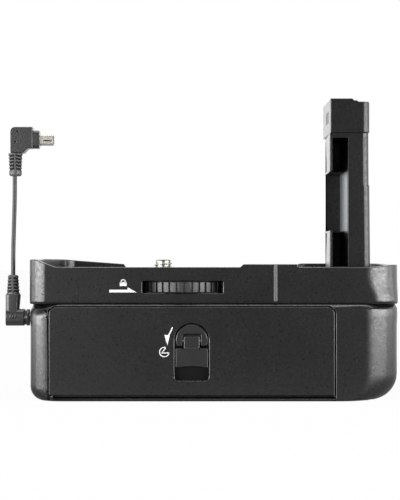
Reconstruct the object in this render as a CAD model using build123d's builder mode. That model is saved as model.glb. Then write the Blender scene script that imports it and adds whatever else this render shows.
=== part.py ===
"""A camera battery grip: a housing with a deck for the camera, a stem for the battery well,
a pull-out tray for two flat battery packs, a thumbwheel that drives the camera screw,
and a short connecting lead with an angled plug at each end.

Millimetres. x runs to the right as seen from behind, y towards the front of the camera, z up.
The origin is on the base, under the camera screw.
"""

from build123d import *
from math import acos, cos, pi, radians, sin, sqrt, tan
import os

# Housing, seen from above
LEFT_X = -45.4
RIGHT_X = 80.8
REAR_Y = -19.0
BAND_BACK = 0.8
GRIP_BULGE = 2.5
GRIP_WIDTH = 30.0
GRIP_FLARE = 5.0
LEFT_END_DEPTH = 41.0
LEFT_FRONT_CUT = 6.4
LEFT_REAR_ROUND = 6.0
LEFT_FRONT_ROUND = 8.0
RIGHT_REAR_ROUND = 9.0
GRIP_ROUND = 15.0
GRIP_LEFT_ROUND = 9.0
VALLEY_ROUND = 5.0
WALL = 2.0

# Housing, heights
SPLIT_Z = 32.8
DECK_Z = 42.8
REAR_RIM = 2.6
LEFT_WALL_RISE = 5.2
LEFT_END_ROUND = 4.8
RIGHT_END_ROUND = 9.0
FLOOR = 2.0

# Battery packs and their tray
PACK_WIDTH = 38.0
PACK_LENGTH = 53.0
PACK_HEIGHT = 14.4
PACK_CLEARANCE = 0.6
TRAY_WALL = 1.6
TRAY_CENTRE_X = 8.0
TRAY_BASE_Z = 9.6
CHAMBER_WALL = 1.2
DOOR_LEFT_X = -38.4
DOOR_WIDTH = 96.8
DOOR_LOW_Z = 2.0
DOOR_TOP_Z = 31.9
DOOR_THICK = 2.4
DOOR_ROUND = 2.4
DOOR_GAP = 0.35

# Stem for the camera's battery well
STEM_LEFT_X = 57.9
STEM_WIDTH = 13.2
STEM_REAR_Y = -5.5
STEM_DEPTH = 36.0
STEM_TOP_Z = 91.7
CAP_HEIGHT = 11.9
CAP_OVERHANG = 0.4

# Drive from the thumbwheel to the camera screw
MODULE = 0.5
RING_TEETH = 52
PINION_TEETH = 20
WHEEL_X = 6.9
WHEEL_RADIUS = 15.5
WHEEL_LOW_Z = 36.9
WHEEL_HEIGHT = 3.4
SCREW_RADIUS = 3.175
SCREW_REACH = 4.5
SHANK_RADIUS = 2.9

# Connecting lead
JACK_Y = -7.0
JACK_Z = 28.0
LEAD_RADIUS = 0.75

# Fits
RUNNING_GAP = 0.06
SLIDING_GAP = 0.3
SEAT_GAP = 0.1
OVERRUN = 1.0

os.makedirs("parts", exist_ok=True)


# Shared forms

def slab(x, y, z, mode=Mode.ADD):
    """Box between two places along each axis, in the piece being made."""
    with Locations(((x[0] + x[1]) / 2, (y[0] + y[1]) / 2, (z[0] + z[1]) / 2)):
        Box(x[1] - x[0], y[1] - y[0], z[1] - z[0], mode=mode)


def rod(start, along, radius, length, mode=Mode.ADD):
    """Cylinder that starts at a point and runs along a direction."""
    with Locations(Plane(origin=start, z_dir=along).location):
        Cylinder(radius, length, align=(Align.CENTER, Align.CENTER, Align.MIN), mode=mode)


def fastener(start, along, head_radius, head_height, shank_radius, length):
    """Screw whose head starts at a point, with its shank along a direction."""
    rod(start, along, head_radius, head_height)
    rod(start, along, shank_radius, length)
    with BuildSketch(Plane(origin=start, z_dir=along)) as socket:
        RegularPolygon(head_radius / 2, 6)
    extrude(socket.sketch, amount=head_height / 2, mode=Mode.SUBTRACT)


def plan_outline(rear_y):
    """Closed outline of the housing seen from above, in the sketch being made."""
    grip_left_x = RIGHT_X - GRIP_WIDTH
    corners = [
        ((LEFT_X, rear_y), LEFT_REAR_ROUND),
        ((RIGHT_X, rear_y), RIGHT_REAR_ROUND),
        ((RIGHT_X, FRONT_Y + GRIP_BULGE), GRIP_ROUND),
        ((grip_left_x, FRONT_Y + GRIP_BULGE), GRIP_LEFT_ROUND),
        ((grip_left_x - GRIP_FLARE, FRONT_Y), VALLEY_ROUND),
        ((LEFT_X + LEFT_FRONT_CUT, FRONT_Y), LEFT_FRONT_ROUND),
        ((LEFT_X, REAR_Y + LEFT_END_DEPTH), LEFT_FRONT_ROUND),
    ]
    with BuildLine() as edge:
        FilletPolyline([place for place, _ in corners], radius=[r for _, r in corners], close=True)
    make_face(edge.edges())


def end_outline(inset, top_z):
    """Outline of the housing seen from behind, with its rounded bottom ends."""
    corners = [
        ((LEFT_X + inset, inset), LEFT_END_ROUND - inset),
        ((RIGHT_X - inset, inset), RIGHT_END_ROUND - inset),
        ((RIGHT_X - inset, top_z + OVERRUN), 0),
        ((LEFT_X + inset, top_z + OVERRUN), 0),
    ]
    with BuildLine() as edge:
        FilletPolyline([place for place, _ in corners], radius=[r for _, r in corners], close=True)
    make_face(edge.edges())


def body_block(rear_y, inset, low_z, top_z):
    """Solid that fills the housing's outer form, drawn in by an inset."""
    with BuildPart() as block:
        with BuildSketch(Plane.XY.offset(low_z)):
            plan_outline(rear_y)
            if inset:
                offset(amount=-inset)
        extrude(amount=top_z - low_z)
        with BuildSketch(Plane.XZ.offset(-REAR_Y + OVERRUN)):
            end_outline(inset, top_z)
        extrude(amount=-(FRONT_Y + GRIP_BULGE - REAR_Y + 2 * OVERRUN), mode=Mode.INTERSECT)
    return block.part


ADDENDUM_SHARE = 0.7
DEDENDUM_SHARE = 1.0


def gear_corners(teeth, inner, tooth_share, lean_share, start_angle):
    """Corner points of a straight-flanked gear outline; inner is true for a ring gear."""
    pitch_radius = MODULE * teeth / 2
    step = 2 * pi / teeth
    side = -1 if inner else 1
    tip_radius = pitch_radius + side * MODULE * ADDENDUM_SHARE
    root_radius = pitch_radius - side * MODULE * DEDENDUM_SHARE
    corners = []
    for number in range(teeth):
        centre = start_angle + number * step
        half_root = step * (tooth_share / 2 + lean_share)
        half_tip = step * (tooth_share / 2 - lean_share)
        for radius, angle in (
            (root_radius, centre - half_root),
            (tip_radius, centre - half_tip),
            (tip_radius, centre + half_tip),
            (root_radius, centre + half_root),
        ):
            corners.append((radius * cos(angle), radius * sin(angle)))
    return corners


# Places worked out from the sizes above
BAND_Y = REAR_Y + BAND_BACK
RIM_Z = DECK_Z + REAR_RIM
LEFT_TOP_Z = DECK_Z + LEFT_WALL_RISE
DOOR_RIGHT_X = DOOR_LEFT_X + DOOR_WIDTH
DOOR_CENTRE_X = (DOOR_LEFT_X + DOOR_RIGHT_X) / 2
DOOR_BACK_Y = REAR_Y + DOOR_THICK
BAY_WIDTH = PACK_WIDTH + PACK_CLEARANCE
BAY_LENGTH = PACK_LENGTH + PACK_CLEARANCE
BAY_HEIGHT = PACK_HEIGHT + PACK_CLEARANCE
TRAY_WIDTH = 2 * BAY_WIDTH + 3 * TRAY_WALL
TRAY_LEFT_X = TRAY_CENTRE_X - TRAY_WIDTH / 2
TRAY_RIGHT_X = TRAY_CENTRE_X + TRAY_WIDTH / 2
BAY_REAR_Y = DOOR_BACK_Y + TRAY_WALL
BAY_FRONT_Y = BAY_REAR_Y + BAY_LENGTH
TRAY_FRONT_Y = BAY_FRONT_Y + TRAY_WALL
CHAMBER_FRONT_Y = TRAY_FRONT_Y + SLIDING_GAP + CHAMBER_WALL
FRONT_Y = CHAMBER_FRONT_Y + SLIDING_GAP + WALL
TRAY_TOP_Z = TRAY_BASE_Z + TRAY_WALL + BAY_HEIGHT
STEM_RIGHT_X = STEM_LEFT_X + STEM_WIDTH
STEM_FRONT_Y = STEM_REAR_Y + STEM_DEPTH
STEM_MIDDLE_Y = (STEM_REAR_Y + STEM_FRONT_Y) / 2

# Lower housing: a tub with the door's opening in its rear wall, open at the top
BOSS_RADIUS = 2.4
BOSS_HOLE = 0.9
CHAMBER_LOW_Z = TRAY_BASE_Z - SLIDING_GAP - CHAMBER_WALL
CHAMBER_TOP_Z = TRAY_TOP_Z + SLIDING_GAP + CHAMBER_WALL
CHAMBER_LEFT_X = TRAY_LEFT_X - SLIDING_GAP - CHAMBER_WALL
CHAMBER_RIGHT_X = TRAY_RIGHT_X + SLIDING_GAP + CHAMBER_WALL
CHAMBER_REAR_Y = DOOR_BACK_Y + SLIDING_GAP
CHAMBER_BOSS_INSET = 6.0
chamber_bosses = [
    (x, y)
    for x in (CHAMBER_LEFT_X + CHAMBER_BOSS_INSET, CHAMBER_RIGHT_X - CHAMBER_BOSS_INSET)
    for y in (CHAMBER_REAR_Y + CHAMBER_BOSS_INSET, CHAMBER_FRONT_Y - CHAMBER_BOSS_INSET)
]

BASE_PLATE_WIDTH = 44.0
BASE_PLATE_DEPTH = 26.0
BASE_PLATE_THICK = 1.2
BASE_PLATE_ROUND = 3.0
BASE_SCREW_INSET = 4.0
SOCKET_BODY_RADIUS = 5.4
SOCKET_FLANGE_RADIUS = 7.4
SOCKET_FLANGE = 1.2
SOCKET_HEIGHT = 6.4
BASE_BOSS_HEIGHT = 3.4
base_screw_places = [
    (x, y)
    for x in (-BASE_PLATE_WIDTH / 2 + BASE_SCREW_INSET, BASE_PLATE_WIDTH / 2 - BASE_SCREW_INSET)
    for y in (-BASE_PLATE_DEPTH / 2 + BASE_SCREW_INSET, BASE_PLATE_DEPTH / 2 - BASE_SCREW_INSET)
]

BOARD_LEFT_X = CHAMBER_RIGHT_X + 2 * SLIDING_GAP + CHAMBER_WALL
BOARD_WIDTH = 20.0
BOARD_REAR_Y = -8.0
BOARD_DEPTH = 40.0
BOARD_THICK = 1.6
BOARD_LOW_Z = TRAY_BASE_Z
BOARD_BOSS_INSET = 3.0
board_bosses = [
    (x, y)
    for x in (BOARD_LEFT_X + BOARD_BOSS_INSET, BOARD_LEFT_X + BOARD_WIDTH - BOARD_BOSS_INSET)
    for y in (BOARD_REAR_Y + BOARD_BOSS_INSET, BOARD_REAR_Y + BOARD_DEPTH - BOARD_BOSS_INSET)
]

COLUMN_RADIUS = 2.6
COLUMN_HOLE = 1.1
SHELL_HEAD_RADIUS = 1.9
SHELL_HEAD = 1.4
SHELL_HEAD_SINK = 1.0
SHELL_SCREW_BITE = 3.4
left_column_x = LEFT_X + LEFT_END_ROUND + SHELL_HEAD_RADIUS
right_column_x = RIGHT_X - RIGHT_END_ROUND - SHELL_HEAD_RADIUS
column_places = [
    (left_column_x, REAR_Y + LEFT_REAR_ROUND),
    (left_column_x, REAR_Y + LEFT_END_DEPTH - LEFT_FRONT_ROUND / 2),
    (right_column_x, REAR_Y + LEFT_REAR_ROUND),
    (right_column_x, FRONT_Y - WALL - 2 * COLUMN_RADIUS),
]

BUTTON_Y = 18.0
BUTTON_Z = 21.0
BUTTON_RADIUS = 4.2
BUTTON_PROUD = 0.9
BUTTON_TRAVEL = 0.8
BUTTON_FLANGE = 0.9
LOCK_RING_RADIUS = 6.8
LOCK_RING_THICK = 1.5
LOCK_RING_PROUD = 0.3
BEZEL_FLANGE_RADIUS = 8.4
BEZEL_FLANGE = 1.2
BEZEL_SLEEVE_RADIUS = 7.4
BEZEL_LENGTH = 9.0

JACK_RADIUS = 3.0
JACK_LENGTH = 9.4

SKIN_THICK = 1.2
SKIN_LOW_Z = 6.0
SKIN_TOP_Z = 30.4
SKIN_REAR_Y = 29.0
SKIN_LEFT_MARGIN = 1.5
SKIN_LEFT_X = RIGHT_X - GRIP_WIDTH + SKIN_LEFT_MARGIN


def skin_block(inset):
    """Front of the hand grip, where the rubber skin lies, from an inset under the surface out."""
    with BuildPart() as block:
        with BuildSketch(Plane.XY.offset(SKIN_LOW_Z)):
            plan_outline(REAR_Y)
        extrude(amount=SKIN_TOP_Z - SKIN_LOW_Z)
        add(body_block(REAR_Y, inset, SKIN_LOW_Z, SKIN_TOP_Z), mode=Mode.SUBTRACT)
        slab(
            (SKIN_LEFT_X, RIGHT_X + OVERRUN),
            (SKIN_REAR_Y, FRONT_Y + GRIP_BULGE + OVERRUN),
            (SKIN_LOW_Z, SKIN_TOP_Z),
            mode=Mode.INTERSECT,
        )
    return block.part


with BuildPart() as lower_housing:
    add(body_block(REAR_Y, 0, 0, SPLIT_Z))
    add(body_block(REAR_Y, WALL, FLOOR, SPLIT_Z + OVERRUN), mode=Mode.SUBTRACT)
    add(skin_block(SKIN_THICK), mode=Mode.SUBTRACT)
    # Bosses for the chamber, the board and the base plate's screws
    for x, y in chamber_bosses:
        rod((x, y, FLOOR / 2), (0, 0, 1), BOSS_RADIUS, CHAMBER_LOW_Z - FLOOR / 2)
        rod((x, y, FLOOR), (0, 0, 1), BOSS_HOLE, CHAMBER_LOW_Z, mode=Mode.SUBTRACT)
    for x, y in board_bosses:
        rod((x, y, FLOOR / 2), (0, 0, 1), BOSS_RADIUS, BOARD_LOW_Z - FLOOR / 2)
        rod((x, y, FLOOR), (0, 0, 1), BOSS_HOLE, BOARD_LOW_Z, mode=Mode.SUBTRACT)
    for x, y in base_screw_places:
        rod((x, y, FLOOR / 2), (0, 0, 1), BOSS_RADIUS, BASE_BOSS_HEIGHT)
        rod((x, y, 0), (0, 0, 1), BOSS_HOLE, FLOOR + BASE_BOSS_HEIGHT, mode=Mode.SUBTRACT)
    # Columns for the long screws that hold the two housings together
    for x, y in column_places:
        rod((x, y, 0), (0, 0, 1), COLUMN_RADIUS, SPLIT_Z)
        rod((x, y, 0), (0, 0, 1), COLUMN_HOLE, SPLIT_Z, mode=Mode.SUBTRACT)
        rod(
            (x, y, 0), (0, 0, 1), SHELL_HEAD_RADIUS, SHELL_HEAD_SINK + SHELL_HEAD,
            mode=Mode.SUBTRACT,
        )
    # Opening for the tray's door, closed at the top by the upper housing
    slab(
        (DOOR_LEFT_X - DOOR_GAP, DOOR_RIGHT_X + DOOR_GAP),
        (REAR_Y - OVERRUN, REAR_Y + WALL + SLIDING_GAP),
        (DOOR_LOW_Z - DOOR_GAP, SPLIT_Z + OVERRUN),
        mode=Mode.SUBTRACT,
    )
    # Recess for the base plate, and the hole for the tripod socket
    with BuildSketch(Plane.XY):
        RectangleRounded(BASE_PLATE_WIDTH, BASE_PLATE_DEPTH, BASE_PLATE_ROUND)
    extrude(amount=BASE_PLATE_THICK, mode=Mode.SUBTRACT)
    rod((0, 0, 0), (0, 0, 1), SOCKET_BODY_RADIUS, FLOOR + OVERRUN, mode=Mode.SUBTRACT)
    # Holes for the jack, and for the shutter button's bezel with its flange let in flush
    rod(
        (LEFT_X - OVERRUN, JACK_Y, JACK_Z),
        (1, 0, 0),
        JACK_RADIUS,
        WALL + 2 * OVERRUN,
        mode=Mode.SUBTRACT,
    )
    for radius, depth in ((BEZEL_FLANGE_RADIUS, BEZEL_FLANGE), (BEZEL_SLEEVE_RADIUS, 2 * WALL)):
        rod(
            (RIGHT_X + OVERRUN, BUTTON_Y, BUTTON_Z),
            (-1, 0, 0),
            radius + SEAT_GAP,
            depth + OVERRUN,
            mode=Mode.SUBTRACT,
        )
lower_housing.part.label = "lower_housing"
export_step(lower_housing.part, "parts/lower_housing.step")


# Rubber skin round the front of the hand grip, let into the lower housing
with BuildPart() as grip_skin:
    add(skin_block(SKIN_THICK))
grip_skin.part.label = "grip_skin"
export_step(grip_skin.part, "parts/grip_skin.step")


# Metal base plate, flush with the base, and its four countersunk screws
COUNTERSINK_RADIUS = 1.7
COUNTERSINK_DEPTH = 0.7

with BuildPart() as base_plate:
    with BuildSketch(Plane.XY):
        RectangleRounded(
            BASE_PLATE_WIDTH - 2 * SEAT_GAP, BASE_PLATE_DEPTH - 2 * SEAT_GAP, BASE_PLATE_ROUND
        )
    extrude(amount=BASE_PLATE_THICK)
    rod((0, 0, 0), (0, 0, 1), SOCKET_BODY_RADIUS, BASE_PLATE_THICK, mode=Mode.SUBTRACT)
    for x, y in base_screw_places:
        rod((x, y, 0), (0, 0, 1), COUNTERSINK_RADIUS, COUNTERSINK_DEPTH, mode=Mode.SUBTRACT)
        rod((x, y, 0), (0, 0, 1), BOSS_HOLE, BASE_PLATE_THICK, mode=Mode.SUBTRACT)
base_plate.part.label = "base_plate"
export_step(base_plate.part, "parts/base_plate.step")

with BuildPart() as base_screws:
    for x, y in base_screw_places:
        fastener(
            (x, y, 0), (0, 0, 1), COUNTERSINK_RADIUS, COUNTERSINK_DEPTH, BOSS_HOLE,
            FLOOR + BASE_BOSS_HEIGHT / 2,
        )
base_screws.part.label = "base_screws"
export_step(base_screws.part, "parts/base_screws.step")


# Threaded insert for a tripod screw, seated in the base plate and flanged over the floor
with BuildPart() as tripod_socket:
    rod((0, 0, 0), (0, 0, 1), SOCKET_BODY_RADIUS - SEAT_GAP, SOCKET_HEIGHT)
    rod((0, 0, FLOOR), (0, 0, 1), SOCKET_FLANGE_RADIUS, SOCKET_FLANGE)
    rod((0, 0, 0), (0, 0, 1), SCREW_RADIUS, SOCKET_HEIGHT - SOCKET_FLANGE, mode=Mode.SUBTRACT)
tripod_socket.part.label = "tripod_socket"
export_step(tripod_socket.part, "parts/tripod_socket.step")


# Battery chamber: a sleeve open to the rear, screwed to four bosses
CONTACT_PITCH = 3.0
CONTACT_RADIUS = 0.6
CONTACT_REST_GAP = 0.1
contact_places = [
    (TRAY_CENTRE_X + side * (BAY_WIDTH + TRAY_WALL) / 2 + number * CONTACT_PITCH,
     TRAY_BASE_Z + BAY_HEIGHT / 2)
    for side in (-1, 1)
    for number in (-1, 0, 1)
]

with BuildPart() as chamber:
    slab(
        (CHAMBER_LEFT_X, CHAMBER_RIGHT_X),
        (CHAMBER_REAR_Y, CHAMBER_FRONT_Y),
        (CHAMBER_LOW_Z, CHAMBER_TOP_Z),
    )
    slab(
        (CHAMBER_LEFT_X + CHAMBER_WALL, CHAMBER_RIGHT_X - CHAMBER_WALL),
        (CHAMBER_REAR_Y - OVERRUN, CHAMBER_FRONT_Y - CHAMBER_WALL),
        (CHAMBER_LOW_Z + CHAMBER_WALL, CHAMBER_TOP_Z - CHAMBER_WALL),
        mode=Mode.SUBTRACT,
    )
    for x, z in contact_places:
        rod(
            (x, CHAMBER_FRONT_Y - CHAMBER_WALL - OVERRUN, z),
            (0, 1, 0),
            CONTACT_RADIUS,
            CHAMBER_WALL + 2 * OVERRUN,
            mode=Mode.SUBTRACT,
        )
    for x, y in chamber_bosses:
        rod(
            (x, y, CHAMBER_LOW_Z), (0, 0, 1), COUNTERSINK_RADIUS, CHAMBER_WALL,
            mode=Mode.SUBTRACT,
        )
chamber.part.label = "chamber"
export_step(chamber.part, "parts/chamber.step")

with BuildPart() as chamber_screws:
    for x, y in chamber_bosses:
        fastener(
            (x, y, CHAMBER_LOW_Z + CHAMBER_WALL), (0, 0, -1), COUNTERSINK_RADIUS, CHAMBER_WALL,
            BOSS_HOLE, CHAMBER_LOW_Z - FLOOR,
        )
chamber_screws.part.label = "chamber_screws"
export_step(chamber_screws.part, "parts/chamber_screws.step")

with BuildPart() as chamber_contacts:
    for x, z in contact_places:
        rod(
            (x, TRAY_FRONT_Y + CONTACT_REST_GAP, z),
            (0, 1, 0),
            CONTACT_RADIUS,
            CHAMBER_FRONT_Y + SLIDING_GAP - TRAY_FRONT_Y - CONTACT_REST_GAP,
        )
chamber_contacts.part.label = "chamber_contacts"
export_step(chamber_contacts.part, "parts/chamber_contacts.step")


# Upper housing: a ring that carries the deck, with the thumbwheel's window in its rear band
DECK_THICK = 1.4
DECK_LOW_Z = DECK_Z - DECK_THICK
LEDGE_HEIGHT = 1.2
LEDGE_WIDTH = 1.6
LEFT_SLOPE_RUN = 7.2
PAD_LEFT_X = 27.5
PAD_RIGHT_X = 46.0
PAD_RISE = 1.0
LIP_END_X = -15.5
LIP_END_RISE = 3.2
LIP_BEVEL = 2.0
GRIP_RIM_RISE = 3.4
VALLEY_CHAMFER = 0.9
WHEEL_Y = -sqrt((MODULE * (RING_TEETH - PINION_TEETH) / 2) ** 2 - WHEEL_X ** 2)
WINDOW_WIDTH = 27.3
WINDOW_GAP = 0.35
WHEEL_TOP_Z = WHEEL_LOW_Z + WHEEL_HEIGHT
WHEEL_ROOM = 0.6
BEAD_X = 38.4
BEAD_RADIUS = 0.6

grip_rim_z = DECK_Z + GRIP_RIM_RISE
sky_z = LEFT_TOP_Z + OVERRUN
near_skyline = [
    (LEFT_X + WALL, LEFT_TOP_Z),
    (LEFT_X + WALL + LEFT_SLOPE_RUN, RIM_Z),
    (PAD_LEFT_X - PAD_RISE, RIM_Z),
    (PAD_LEFT_X, RIM_Z + PAD_RISE),
    (PAD_RIGHT_X, RIM_Z + PAD_RISE),
    (PAD_RIGHT_X, RIM_Z),
    (RIGHT_X - RIGHT_REAR_ROUND, RIM_Z),
    (RIGHT_X - WALL, grip_rim_z),
    (RIGHT_X + OVERRUN, grip_rim_z),
    (RIGHT_X + OVERRUN, sky_z),
    (LEFT_X + WALL, sky_z),
]
far_skyline = [
    (LEFT_X + WALL, LEFT_TOP_Z),
    (LIP_END_X, DECK_Z + LIP_END_RISE),
    (LIP_END_X + LIP_BEVEL, DECK_Z),
    (RIGHT_X - GRIP_WIDTH - LIP_BEVEL, DECK_Z),
    (RIGHT_X - GRIP_WIDTH, grip_rim_z),
    (RIGHT_X + OVERRUN, grip_rim_z),
    (RIGHT_X + OVERRUN, sky_z),
    (LEFT_X + WALL, sky_z),
]

with BuildPart() as upper_housing:
    add(body_block(BAND_Y, 0, SPLIT_Z, LEFT_TOP_Z))
    add(body_block(BAND_Y, WALL, SPLIT_Z - OVERRUN, sky_z), mode=Mode.SUBTRACT)
    # Ledge under the deck, and bosses for the deck's and the housings' screws
    add(body_block(BAND_Y, WALL / 2, DECK_LOW_Z - LEDGE_HEIGHT, DECK_LOW_Z))
    add(
        body_block(BAND_Y, WALL + LEDGE_WIDTH, DECK_LOW_Z - LEDGE_HEIGHT - OVERRUN, sky_z),
        mode=Mode.SUBTRACT,
    )
    for x, y in column_places:
        rod((x, y, SPLIT_Z), (0, 0, 1), COLUMN_RADIUS, DECK_LOW_Z - SPLIT_Z)
    rib_x = (right_column_x - BOSS_HOLE, right_column_x + BOSS_HOLE)
    slab(rib_x, (column_places[-1][1], FRONT_Y + GRIP_BULGE - WALL), (SPLIT_Z, DECK_LOW_Z))
    for x, y in column_places:
        rod((x, y, SPLIT_Z), (0, 0, 1), BOSS_HOLE, DECK_LOW_Z - SPLIT_Z, mode=Mode.SUBTRACT)
    rod(
        (WHEEL_X, WHEEL_Y, DECK_LOW_Z - LEDGE_HEIGHT), (0, 0, 1), WHEEL_RADIUS + WHEEL_ROOM,
        LEDGE_HEIGHT, mode=Mode.SUBTRACT,
    )
    add(body_block(BAND_Y, 0, SPLIT_Z, LEFT_TOP_Z), mode=Mode.INTERSECT)
    # The rim's height, along the rear and along the front
    for skyline, low_y, high_y in (
        (near_skyline, REAR_Y - OVERRUN, 0),
        (far_skyline, 0, FRONT_Y + GRIP_BULGE + OVERRUN),
    ):
        with BuildSketch(Plane.XZ.offset(-low_y)):
            with BuildLine():
                Polyline(skyline, close=True)
            make_face()
        extrude(amount=low_y - high_y, mode=Mode.SUBTRACT)
    # The thumbwheel's window, and the bead's seat
    slab(
        (WHEEL_X - WINDOW_WIDTH / 2, WHEEL_X + WINDOW_WIDTH / 2),
        (REAR_Y - OVERRUN, BAND_Y + WALL + OVERRUN),
        (WHEEL_LOW_Z - WINDOW_GAP, WHEEL_TOP_Z + WINDOW_GAP),
        mode=Mode.SUBTRACT,
    )
    rear_foot = upper_housing.edges().filter_by(GeomType.LINE).group_by(Axis.Z)[0]
    chamfer(rear_foot.sort_by(Axis.Y)[0], length=VALLEY_CHAMFER)
    rod((BEAD_X, BAND_Y, SPLIT_Z + VALLEY_CHAMFER), (0, 0, 1), BEAD_RADIUS, RIM_Z, mode=Mode.SUBTRACT)
upper_housing.part.label = "upper_housing"
export_step(upper_housing.part, "parts/upper_housing.step")


# Slim half-round bead that marks the rear band
with BuildPart() as index_bead:
    rod(
        (BEAD_X, BAND_Y, SPLIT_Z + VALLEY_CHAMFER),
        (0, 0, 1),
        BEAD_RADIUS,
        RIM_Z + PAD_RISE - SPLIT_Z - VALLEY_CHAMFER,
    )
index_bead.part.label = "index_bead"
export_step(index_bead.part, "parts/index_bead.step")


# Long screws up through the lower housing into the upper one
with BuildPart() as shell_screws:
    for x, y in column_places:
        fastener(
            (x, y, SHELL_HEAD_SINK), (0, 0, 1), SHELL_HEAD_RADIUS, SHELL_HEAD, BOSS_HOLE,
            SPLIT_Z + SHELL_SCREW_BITE - SHELL_HEAD_SINK,
        )
shell_screws.part.label = "shell_screws"
export_step(shell_screws.part, "parts/shell_screws.step")


# Deck plate inside the rim, its rubber pad and its screws
BUSHING_RADIUS = 4.2
BUSHING_FLANGE_RADIUS = 5.6
BUSHING_FLANGE = 0.5
DECK_PAD_THICK = 0.6
DECK_PAD_INSET = 5.0
DECK_PAD_HOLE = 9.0
DECK_PAD_ROUND = 6.0
DECK_SCREW_LENGTH = 4.6
FOOT_REACH = 3.2
FOOT_THICK = 1.2
FOOT_SCREW_INSET = 1.6
stem_screw_places = [
    ((STEM_LEFT_X + STEM_RIGHT_X) / 2, STEM_REAR_Y - FOOT_REACH + FOOT_SCREW_INSET),
    ((STEM_LEFT_X + STEM_RIGHT_X) / 2, STEM_FRONT_Y + FOOT_REACH - FOOT_SCREW_INSET),
]

with BuildPart() as top_deck:
    add(body_block(BAND_Y, WALL + SEAT_GAP, DECK_LOW_Z, DECK_Z))
    rod((0, 0, DECK_LOW_Z), (0, 0, 1), BUSHING_RADIUS, DECK_THICK, mode=Mode.SUBTRACT)
    slab(
        (STEM_LEFT_X - SEAT_GAP, STEM_RIGHT_X + SEAT_GAP),
        (STEM_REAR_Y - SEAT_GAP, STEM_FRONT_Y + SEAT_GAP),
        (DECK_LOW_Z - OVERRUN, DECK_Z + OVERRUN),
        mode=Mode.SUBTRACT,
    )
    for x, y in column_places:
        rod((x, y, DECK_Z - COUNTERSINK_DEPTH), (0, 0, 1), COUNTERSINK_RADIUS, OVERRUN, Mode.SUBTRACT)
        rod((x, y, DECK_LOW_Z), (0, 0, 1), BOSS_HOLE, DECK_THICK, mode=Mode.SUBTRACT)
    for x, y in stem_screw_places:
        rod((x, y, DECK_LOW_Z), (0, 0, 1), BOSS_HOLE, DECK_THICK / 2, mode=Mode.SUBTRACT)
top_deck.part.label = "top_deck"
export_step(top_deck.part, "parts/top_deck.step")

with BuildPart() as deck_pad:
    pad_x = (LEFT_X + WALL + 2 * DECK_PAD_INSET, STEM_LEFT_X - 2 * DECK_PAD_INSET)
    pad_y = (BAND_Y + WALL + DECK_PAD_INSET / 2, FRONT_Y - WALL - DECK_PAD_INSET)
    with BuildSketch(Plane.XY.offset(DECK_Z)):
        with Locations(((pad_x[0] + pad_x[1]) / 2, (pad_y[0] + pad_y[1]) / 2)):
            RectangleRounded(pad_x[1] - pad_x[0], pad_y[1] - pad_y[0], DECK_PAD_ROUND)
        Circle(DECK_PAD_HOLE, mode=Mode.SUBTRACT)
    extrude(amount=DECK_PAD_THICK)
deck_pad.part.label = "deck_pad"
export_step(deck_pad.part, "parts/deck_pad.step")

with BuildPart() as deck_screws:
    for x, y in column_places:
        fastener(
            (x, y, DECK_Z), (0, 0, -1), COUNTERSINK_RADIUS, COUNTERSINK_DEPTH, BOSS_HOLE,
            DECK_SCREW_LENGTH,
        )
deck_screws.part.label = "deck_screws"
export_step(deck_screws.part, "parts/deck_screws.step")


# Thumbwheel: a knurled rim over a ring gear, turning on a disc fixed under the deck
KNURL_TEETH = 39
KNURL_DEPTH = 0.8
KNURL_SHARE = 0.66
BEARING_RADIUS = 13.9
BEARING_THICK = 1.9
RING_HEIGHT = 2.4
TOOTH_SHARE = 0.40
LEAN_SHARE = 0.075
WHEEL_FLOAT = 0.1
BEARING_LOW_Z = DECK_LOW_Z - BEARING_THICK
mesh_angle = acos(-WHEEL_X / sqrt(WHEEL_X ** 2 + WHEEL_Y ** 2))

with BuildPart() as wheel_bearing:
    rod((WHEEL_X, WHEEL_Y, BEARING_LOW_Z), (0, 0, 1), BEARING_RADIUS, BEARING_THICK)
    add(body_block(BAND_Y, WALL + SLIDING_GAP, BEARING_LOW_Z, DECK_LOW_Z), mode=Mode.INTERSECT)
    rod((0, 0, BEARING_LOW_Z), (0, 0, 1), BUSHING_RADIUS, BEARING_THICK, mode=Mode.SUBTRACT)
wheel_bearing.part.label = "wheel_bearing"
export_step(wheel_bearing.part, "parts/wheel_bearing.step")

with BuildPart() as thumbwheel:
    with BuildSketch(Plane.XY.offset(WHEEL_LOW_Z)):
        with Locations((WHEEL_X, WHEEL_Y)):
            Circle(WHEEL_RADIUS - KNURL_DEPTH)
            with PolarLocations(WHEEL_RADIUS - KNURL_DEPTH, KNURL_TEETH):
                Rectangle(2 * KNURL_DEPTH, 2 * pi * WHEEL_RADIUS / KNURL_TEETH * KNURL_SHARE)
    extrude(amount=WHEEL_HEIGHT)
    with BuildSketch(Plane.XY.offset(WHEEL_LOW_Z)):
        with BuildLine(Plane.XY.offset(0)):
            ring = gear_corners(RING_TEETH, True, TOOTH_SHARE, LEAN_SHARE, mesh_angle + pi / RING_TEETH)
            Polyline([(WHEEL_X + x, WHEEL_Y + y) for x, y in ring], close=True)
        make_face()
    extrude(amount=RING_HEIGHT, mode=Mode.SUBTRACT)
    rod(
        (WHEEL_X, WHEEL_Y, WHEEL_LOW_Z + RING_HEIGHT),
        (0, 0, 1),
        BEARING_RADIUS + RUNNING_GAP,
        WHEEL_HEIGHT,
        mode=Mode.SUBTRACT,
    )
thumbwheel.part.label = "thumbwheel"
export_step(thumbwheel.part, "parts/thumbwheel.step")


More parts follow.
